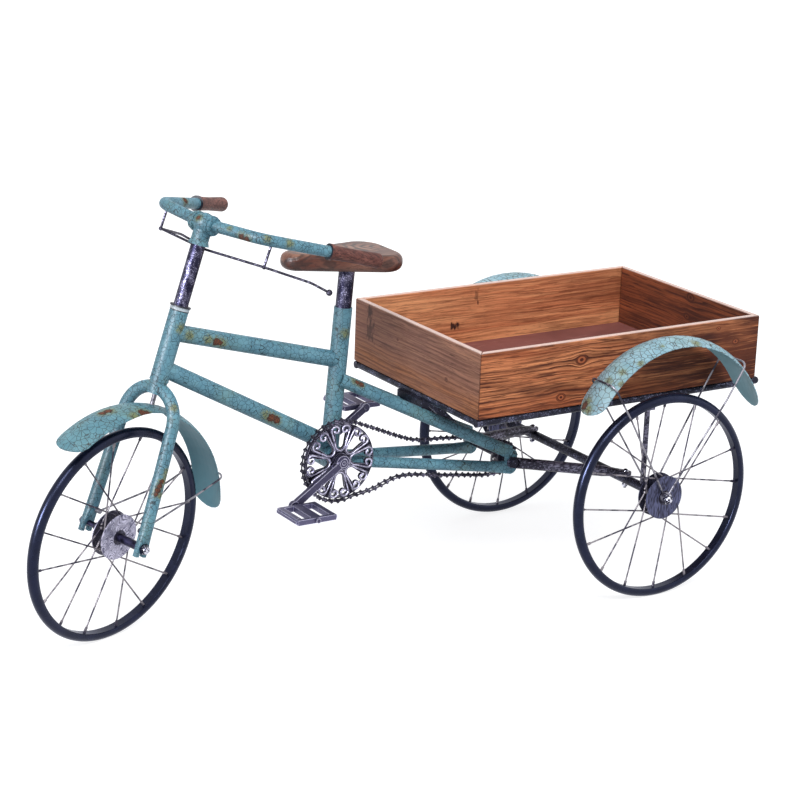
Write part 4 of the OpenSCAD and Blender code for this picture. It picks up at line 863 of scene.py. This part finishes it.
# %% Finishes by node
finishes = [
    (post_iron, ["stem", "seat_post"]),
    (bar_iron, ["drawbar_near", "drawbar_far", "tray_struts"]),
    (iron, ["axle_beam", "tray_straps", "tray_rail_near", "tray_rail_far", "jackshaft"]),
    (iron, ["tray_front_bar", "tray_crossbars"]),
    (steel, ["front_spokes", "near_spokes", "far_spokes", "rear_axle", "sprocket"]),
    (wire_steel, ["rear_fender_stays", "front_fender_stay"]),
    (chain_steel, ["chain", "brake_rod"]),
    (bright, ["stay_bolts", "rear_axle_nuts"]),
    (front_axle_look, ["front_axle"]),
    (casting, ["cranks", "crank_spindle"]),
    (ring_casting, ["chainring"]),
    (pedal_casting, ["pedal_near", "pedal_far"]),
    (hoop_blue, ["front_hoop", "near_hoop", "far_hoop"]),
    (front_face, ["front_hub"]),
    (rear_faces[0], ["near_hub"]),
    (rear_faces[1], ["far_hub"]),
    (near_pine, ["board_near"]),
    (far_pine, ["board_far"]),
    (rear_pine, ["board_rear"]),
    (front_pine, ["board_front"]),
    (panel, ["floor_panel"]),
    (saddle_wood, ["saddle"]),
    (near_grip_wood, ["grip_near"]),
    (far_grip_wood, ["grip_far"]),
    (head_paint, ["head_tube"]),
    (tube_paint, ["seat_stay_far", "chain_stay_near", "chain_stay_far", "fork_leg_far"]),
    (tube_paint, ["bottom_bracket"]),
]
finishes += [(paint, [node]) for node, paint in paints.items()]
done = set()
for material, nodes in finishes:
    for node in nodes:
        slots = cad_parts[node].data.materials
        slots.clear()
        slots.append(material)
        done.add(node)
print("nodes without a finish:", sorted(set(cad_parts) - done))

# %% [markdown]
# ## Boards with eased edges
# A CAD board has knife edges, and no real board has: they are broken with sandpaper, and
# the eased edge is what catches the light along the tray. A copy of each board is merged
# into clean faces, its sharp edges are bevelled, and the copy stands for the CAD node.

# %% Ease the boards' edges
def tidy_mesh(shape, name):
    """A mesh from a bmesh, with its faces turned outward."""
    bmesh.ops.recalc_face_normals(shape, faces=shape.faces)
    mesh = bpy.data.meshes.new(name)
    shape.to_mesh(mesh)
    shape.free()
    return mesh


def new_piece(name, mesh, body, slot, material, *replaced):
    """An object that rides on a body and may stand for CAD nodes."""
    piece = bpy.data.objects.new(name, mesh)
    bpy.context.scene.collection.objects.link(piece)
    mesh.materials.clear()
    mesh.materials.append(material)
    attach(piece, body)
    if replaced:
        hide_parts(*replaced)
    return piece


FLAT, CORNER, MERGE_WITHIN, EASE = math.radians(1), math.radians(35), 1e-5, 0.0026


def eased_board(node, material, slot):
    shape = bmesh.new()
    shape.from_mesh(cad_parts[node].data)
    bmesh.ops.remove_doubles(shape, verts=shape.verts, dist=MERGE_WITHIN)
    bmesh.ops.dissolve_limit(shape, angle_limit=FLAT, verts=shape.verts, edges=shape.edges)
    shared = [e for e in shape.edges if len(e.link_faces) == 2]
    sharp = [e for e in shared if e.calc_face_angle() > CORNER]
    bmesh.ops.bevel(shape, geom=sharp, offset=EASE, segments=3, profile=0.5, affect="EDGES")
    mesh = tidy_mesh(shape, f"eased_{node}")
    return new_piece(f"eased_{node}", mesh, "frame", slot, material, node)


for node, material, slot in (
    ("board_near", near_pine, "pine_board"), ("board_far", far_pine, "pine_board"),
    ("board_rear", rear_pine, "pine_board"), ("board_front", front_pine, "grey_pine_board"),
):
    board = eased_board(node, material, slot)
    print(board.name, len(board.data.polygons), "faces")

# %% [markdown]
# ## A recipe in Geometry Nodes
# What follows a rule is best made by a rule. A Geometry Nodes tree takes named sizes, and
# the same tree makes every copy. The result is turned into a plain mesh, because a part
# that goes to other tools can't carry a live modifier with it.

# %% Geometry tools
class Recipe(Tree):
    """A Geometry Nodes tree with named inputs."""

    def __init__(self, name, **sizes):
        self.group = bpy.data.node_groups.new(name, "GeometryNodeTree")
        super().__init__(self.group)
        sockets = {"Geometry": "Geometry", **sizes, "Material": "Material"}
        new_socket = self.group.interface.new_socket
        for key, kind in sockets.items():
            new_socket(key, in_out="INPUT", socket_type=f"NodeSocket{kind}")
        new_socket("Geometry", in_out="OUTPUT", socket_type="NodeSocketGeometry")
        self.start = self.group.nodes.new("NodeGroupInput")

    def given(self, name):
        return Wire(self, self.start.outputs[name])

    def step(self, kind, geometry, **inputs):
        """One node that changes a geometry."""
        named = {key.replace("_", " "): value for key, value in inputs.items()}
        return self.add(f"GeometryNode{kind}", None, {0: geometry, **named})

    def together(self, *geometries):
        join = self.group.nodes.new("GeometryNodeJoinGeometry")
        for wire in reversed(geometries):
            self.group.links.new(wire.socket, join.inputs[0])
        return Wire(self, join.outputs[0])

    def end(self, geometry):
        real = self.step("RealizeInstances", geometry)
        smooth = self.step("SetShadeSmooth", real)
        dressed = self.step("SetMaterial", smooth, Material=self.given("Material"))
        out = self.group.nodes.new("NodeGroupOutput")
        self.group.links.new(dressed.socket, out.inputs[0])

    def make(self, name, place, seed=None, **values):
        """The plain mesh for these sizes, moved to its place."""
        thing = bpy.data.objects.new(name, seed or bpy.data.meshes.new(name))
        bpy.context.scene.collection.objects.link(thing)
        modifier = thing.modifiers.new("recipe", "NODES")
        modifier.node_group = self.group
        for item in self.group.interface.items_tree:
            if item.in_out == "INPUT" and item.name in values:
                modifier[item.identifier] = values[item.name]
        view = bpy.context.evaluated_depsgraph_get()
        mesh = bpy.data.meshes.new_from_object(thing.evaluated_get(view))
        bpy.data.objects.remove(thing)
        mesh.name = name
        mesh.transform(place)
        return mesh


def seat(columns, origin):
    """A matrix from three axes and a spot."""
    turned = Matrix([Vector(c) for c in columns]).transposed().to_4x4()
    return Matrix.Translation(Vector(origin)) @ turned


print("geometry tools ready")

# %% [markdown]
# ## Smooth hoops
# The hoop is a tube that was bent into a ring and rolled flat inside, where the spokes
# sit. A grid whose two directions become the way round the ring and the way round the
# tube draws it in one step: the CAD solid has the same sizes but shows its facets in a
# gloss. The flat bed comes from holding the radius at a least value.

# %% Hoop recipe
TURN = 2 * math.pi


def hoop_tree():
    """A grid rolled into a tube and the tube into a ring, nowhere nearer its middle than Bed."""
    sizes = {"Middle": "Float", "Tube": "Float", "Bed": "Float", "Around": "Int", "Across": "Int"}
    tree = Recipe("hoop_recipe", **sizes)
    middle, tube, bed, around, across_tube = [tree.given(name) for name in sizes]
    square = {"Size X": 1.0, "Size Y": 1.0, "Vertices X": around, "Vertices Y": across_tube}
    grid = tree.add("GeometryNodeMeshGrid", None, square)
    spot = tree.parts(tree.add("GeometryNodeInputPosition"))
    turn, roll = spot[0] * TURN, spot[1] * TURN
    reach = (middle + tube * roll.math("COSINE", roll)).most(bed)
    to_side = tube * roll.math("SINE", roll)
    ring_spot = tree.joined(
        reach * turn.math("COSINE", turn), to_side, reach * turn.math("SINE", turn),
    )
    bent_grid = tree.step("SetPosition", grid, Position=ring_spot)
    tree.end(tree.step("MergeByDistance", bent_grid, Distance=1e-6))
    return tree


hoop_recipe = hoop_tree()
print("hoop nodes:", len(hoop_recipe.group.nodes))

# %% Hoops
HOOP_SIZES = {"Middle": 0.180, "Tube": 0.010, "Bed": 0.1745, "Around": 145, "Across": 37}
rear_seats = [Matrix.Translation(spot) for spot in REAR_WHEELS.values()]
for node, body, place in (
    ("front_hoop", "front_wheel", seat((STEER_BACK, STEER_FAR, STEER_UP), FRONT_AXLE)),
    ("near_hoop", "rear_wheel_near", rear_seats[0]),
    ("far_hoop", "rear_wheel_far", rear_seats[1]),
):
    mesh = hoop_recipe.make(f"smooth_{node}", place, Material=hoop_blue, **HOOP_SIZES)
    shape = bmesh.new()
    shape.from_mesh(mesh)
    mesh = tidy_mesh(shape, mesh.name)
    for face in mesh.polygons:
        face.use_smooth = True
    hoop = new_piece(f"smooth_{node}", mesh, body, "tyre_hoop", hoop_blue, node)
    print(hoop.name, len(mesh.polygons), "faces")

# %% [markdown]
# ## Scrolls on the chainring
# The cast chainring has eight hearts, and a raised bead runs along each stroke and curls
# up at its end. The stroke is drawn once, as a line of points. The recipe sweeps a round
# section along it, sets a ball on each curl, and turns copies round the axle.

# %% Bead recipe
def bead_tree():
    """A bead along each stroke and a ball on its curl, copied round both faces of the ring."""
    lengths = dict.fromkeys(("Bead", "Ball", "Face", "Rim", "Hub"), "Float")
    tree = Recipe("bead_recipe", Copies="Int", **lengths)
    copies = tree.given("Copies")
    bead, ball_radius, face, rim, hub = map(tree.given, lengths)

    def circle(points, radius):
        sizes = {"Resolution": points, "Radius": radius}
        return tree.add("GeometryNodeCurvePrimitiveCircle", None, sizes)

    def lifted(geometry, rise):
        return tree.step("Transform", geometry, Translation=tree.joined(0.0, 0.0, rise))

    line = tree.step("MeshToCurve", tree.given("Geometry"))
    tube = tree.step("CurveToMesh", line, Profile_Curve=circle(8, bead), Fill_Caps=True)
    ends = tree.add("GeometryNodeCurveEndpointSelection", None, {"Start Size": 0, "End Size": 1})
    sphere = {"Radius": ball_radius, "Subdivisions": 2}
    ball = tree.add("GeometryNodeMeshIcoSphere", None, sphere)
    heart = tree.together(tube, tree.step("InstanceOnPoints", line, Selection=ends, Instance=ball))
    spots = tree.add("GeometryNodePoints", None, {"Count": copies})
    turned = tree.joined(0.0, 0.0, tree.add("GeometryNodeInputIndex") * TURN / copies)
    hearts = tree.step("InstanceOnPoints", spots, Instance=heart, Rotation=turned)
    thin = circle(8, bead * 0.8)
    circles = [
        tree.step("CurveToMesh", circle(96, radius), Profile_Curve=thin) for radius in (rim, hub)
    ]
    one_side = tree.together(hearts, lifted(tree.together(*circles), face * -0.4))
    tree.end(tree.together(one_side, lifted(one_side, face * -2)))
    return tree


bead_recipe = bead_tree()
print("bead nodes:", len(bead_recipe.group.nodes))

# %% One heart as a line
# These are millimetres from the axle, and the curl's angles are degrees.
RING_EDGE, CURL, ROOT, HALF_WIDTH, LOBE = 67.96, 9.0, 20.0, 11.0, 14
CURL_X, CURL_Y = RING_EDGE - CURL - 2, (HALF_WIDTH + CURL) / 2 - 0.6
SIDE_STEPS, SIDE_SWELL, CURL_END, CURL_FADE, RING_FACE = 5, 0.35, 330, 500, 3


def stroke(side):
    """Half a heart: round the lobe, up the side and inward round the curl."""
    quarter = [math.radians(t) for t in range(2, 91, 8)]
    spots = [(ROOT + LOBE * (1 - math.cos(t)), HALF_WIDTH * math.sin(t)) for t in quarter]
    knee, shoulder = Vector(spots[-1]), Vector((CURL_X, CURL_Y + CURL))
    for share in [s / SIDE_STEPS for s in range(1, SIDE_STEPS)]:
        swell = Vector((0, SIDE_SWELL * math.sin(math.pi * share)))
        spots.append(knee.lerp(shoulder, share) + swell)
    for t in range(0, CURL_END + 1, 12):
        radius, angle = CURL * (1 - t / CURL_FADE), math.radians(t)
        spots.append((CURL_X + radius * math.sin(angle), CURL_Y + radius * math.cos(angle)))
    return [(x / 1000, side * y / 1000, RING_FACE / 1000) for x, y in spots]


halves = [stroke(1), stroke(-1)]
points = halves[0] + halves[1]
links = [(i, i + 1) for i in range(len(points) - 1) if i != len(halves[0]) - 1]
heart_line = bpy.data.meshes.new("heart_line")
heart_line.from_pydata(points, links, [])
print("one heart:", len(points), "points")

# %% Beads on the ring
CRANK_AXLE = (-0.098, -0.036, 0.270)
BEAD_SIZES = {"Bead": 0.0013, "Ball": 0.0024, "Face": 0.003, "Rim": 0.0664, "Hub": 0.0178}
ring_seat = seat(((1, 0, 0), (0, 0, 1), (0, -1, 0)), CRANK_AXLE)
beads = bead_recipe.make(
    "scroll_beads", ring_seat, heart_line, Copies=8, Material=bead_silver, **BEAD_SIZES,
)
beads_piece = new_piece("scroll_beads", beads, "crankset", "antique_casting", bead_silver)
print("scroll beads:", len(beads.polygons), "faces", [round(v, 4) for v in beads_piece.dimensions])

# %% [markdown]
# ## Floor, light and background
# The picture is cut out on white. The floor and the sky are white only to the camera and
# to reflections, so neither throws extra light on the object. A broad sun from above the
# camera's left gives the soft highlight along the tubes, and a weak one fills in from the
# right. A third is seen only in gloss, as a long lamp beside the object would be, and a
# plain sky lights the rest.

# %% White for the camera
WHITE = (1, 1, 1, 1)


def seen_directly(tree):
    """1 for the rays of the camera, of gloss and of glass, 0 for those that carry light."""
    rays = tree.nodes.new("ShaderNodeLightPath")
    kinds = ("Camera", "Glossy", "Transmission")
    total, *others = [rays.outputs[f"Is {kind} Ray"] for kind in kinds]
    for wire in others:
        joined = tree.nodes.new("ShaderNodeMath")
        joined.operation = "MAXIMUM"
        tree.links.new(total, joined.inputs[0])
        tree.links.new(wire, joined.inputs[1])
        total = joined.outputs[0]
    return total


def show_white(tree, hidden, shown, out):
    """The shader shown for rays that are seen directly, and hidden for all others."""
    blend = tree.nodes.new("ShaderNodeMixShader")
    tree.links.new(seen_directly(tree), blend.inputs[0])
    tree.links.new(hidden.outputs[0], blend.inputs[1])
    tree.links.new(shown.outputs[0], blend.inputs[2])
    tree.links.new(blend.outputs[0], tree.nodes[out].inputs["Surface"])


print("ready to tell rays apart")

# %% Floor
REACH = 30.0
MATT_GREY = {"Base Color": (0.45, 0.45, 0.46, 1), "Specular IOR Level": 0.0, "Roughness": 1.0}
GLOW = {"Emission Color": WHITE, "Emission Strength": 0.8}
corners = [(-REACH, -REACH, 0), (REACH, -REACH, 0), (REACH, REACH, 0), (-REACH, REACH, 0)]
floor_mesh = bpy.data.meshes.new("studio_floor")
floor_mesh.from_pydata(corners, [], [(0, 1, 2, 3)])
floor = bpy.data.objects.new("studio_floor", floor_mesh)
bpy.context.scene.collection.objects.link(floor)
floor_look = Finish("studio_floor")
floor_tree = floor_look.nodes_of
lit_floor = floor_tree.nodes.new("ShaderNodeBsdfPrincipled")
for shader, values in ((floor_look.shader, MATT_GREY), (lit_floor, {**MATT_GREY, **GLOW})):
    for key, value in values.items():
        shader.inputs[key].default_value = value
show_white(floor_tree, floor_look.shader, lit_floor, "Material Output")
floor_mesh.materials.append(floor_look.material)
print("floor:", floor.name)

# %% Sky and lamps
SKY_BLUE, SKY_LIGHT = (0.93, 0.96, 1.0, 1), 0.55
world = bpy.data.worlds.new("studio")
world.use_nodes = True
bpy.context.scene.world = world
sky = world.node_tree
sky.nodes["Background"].inputs["Color"].default_value = SKY_BLUE
sky.nodes["Background"].inputs["Strength"].default_value = SKY_LIGHT
white = sky.nodes.new("ShaderNodeBackground")
white.inputs["Color"].default_value = WHITE
show_white(sky, sky.nodes["Background"], white, "World Output")


def sun(name, toward, energy, softness, colour=(1, 1, 1), gloss_only=False):
    """toward points from the object to the lamp, and softness is its width in degrees."""
    data = bpy.data.lights.new(name, "SUN")
    data.energy, data.angle, data.color = energy, math.radians(softness), colour
    lamp = bpy.data.objects.new(name, data)
    lamp.rotation_mode = "QUATERNION"
    lamp.rotation_quaternion = Vector(toward).to_track_quat("Z", "Y")
    lamp.visible_diffuse = not gloss_only
    bpy.context.scene.collection.objects.link(lamp)


sun("key_lamp", (-0.45, -0.70, 1.0), 1.9, 24)
sun("fill_lamp", (0.8, -0.5, 0.5), 0.5, 60, (0.94, 0.96, 1.0))
sun("side_lamp", (-1.0, -0.3, 0.35), 7.0, 16, (0.9, 0.93, 1.0), gloss_only=True)
bpy.context.scene.view_settings.view_transform = "Standard"
print("stage ready")
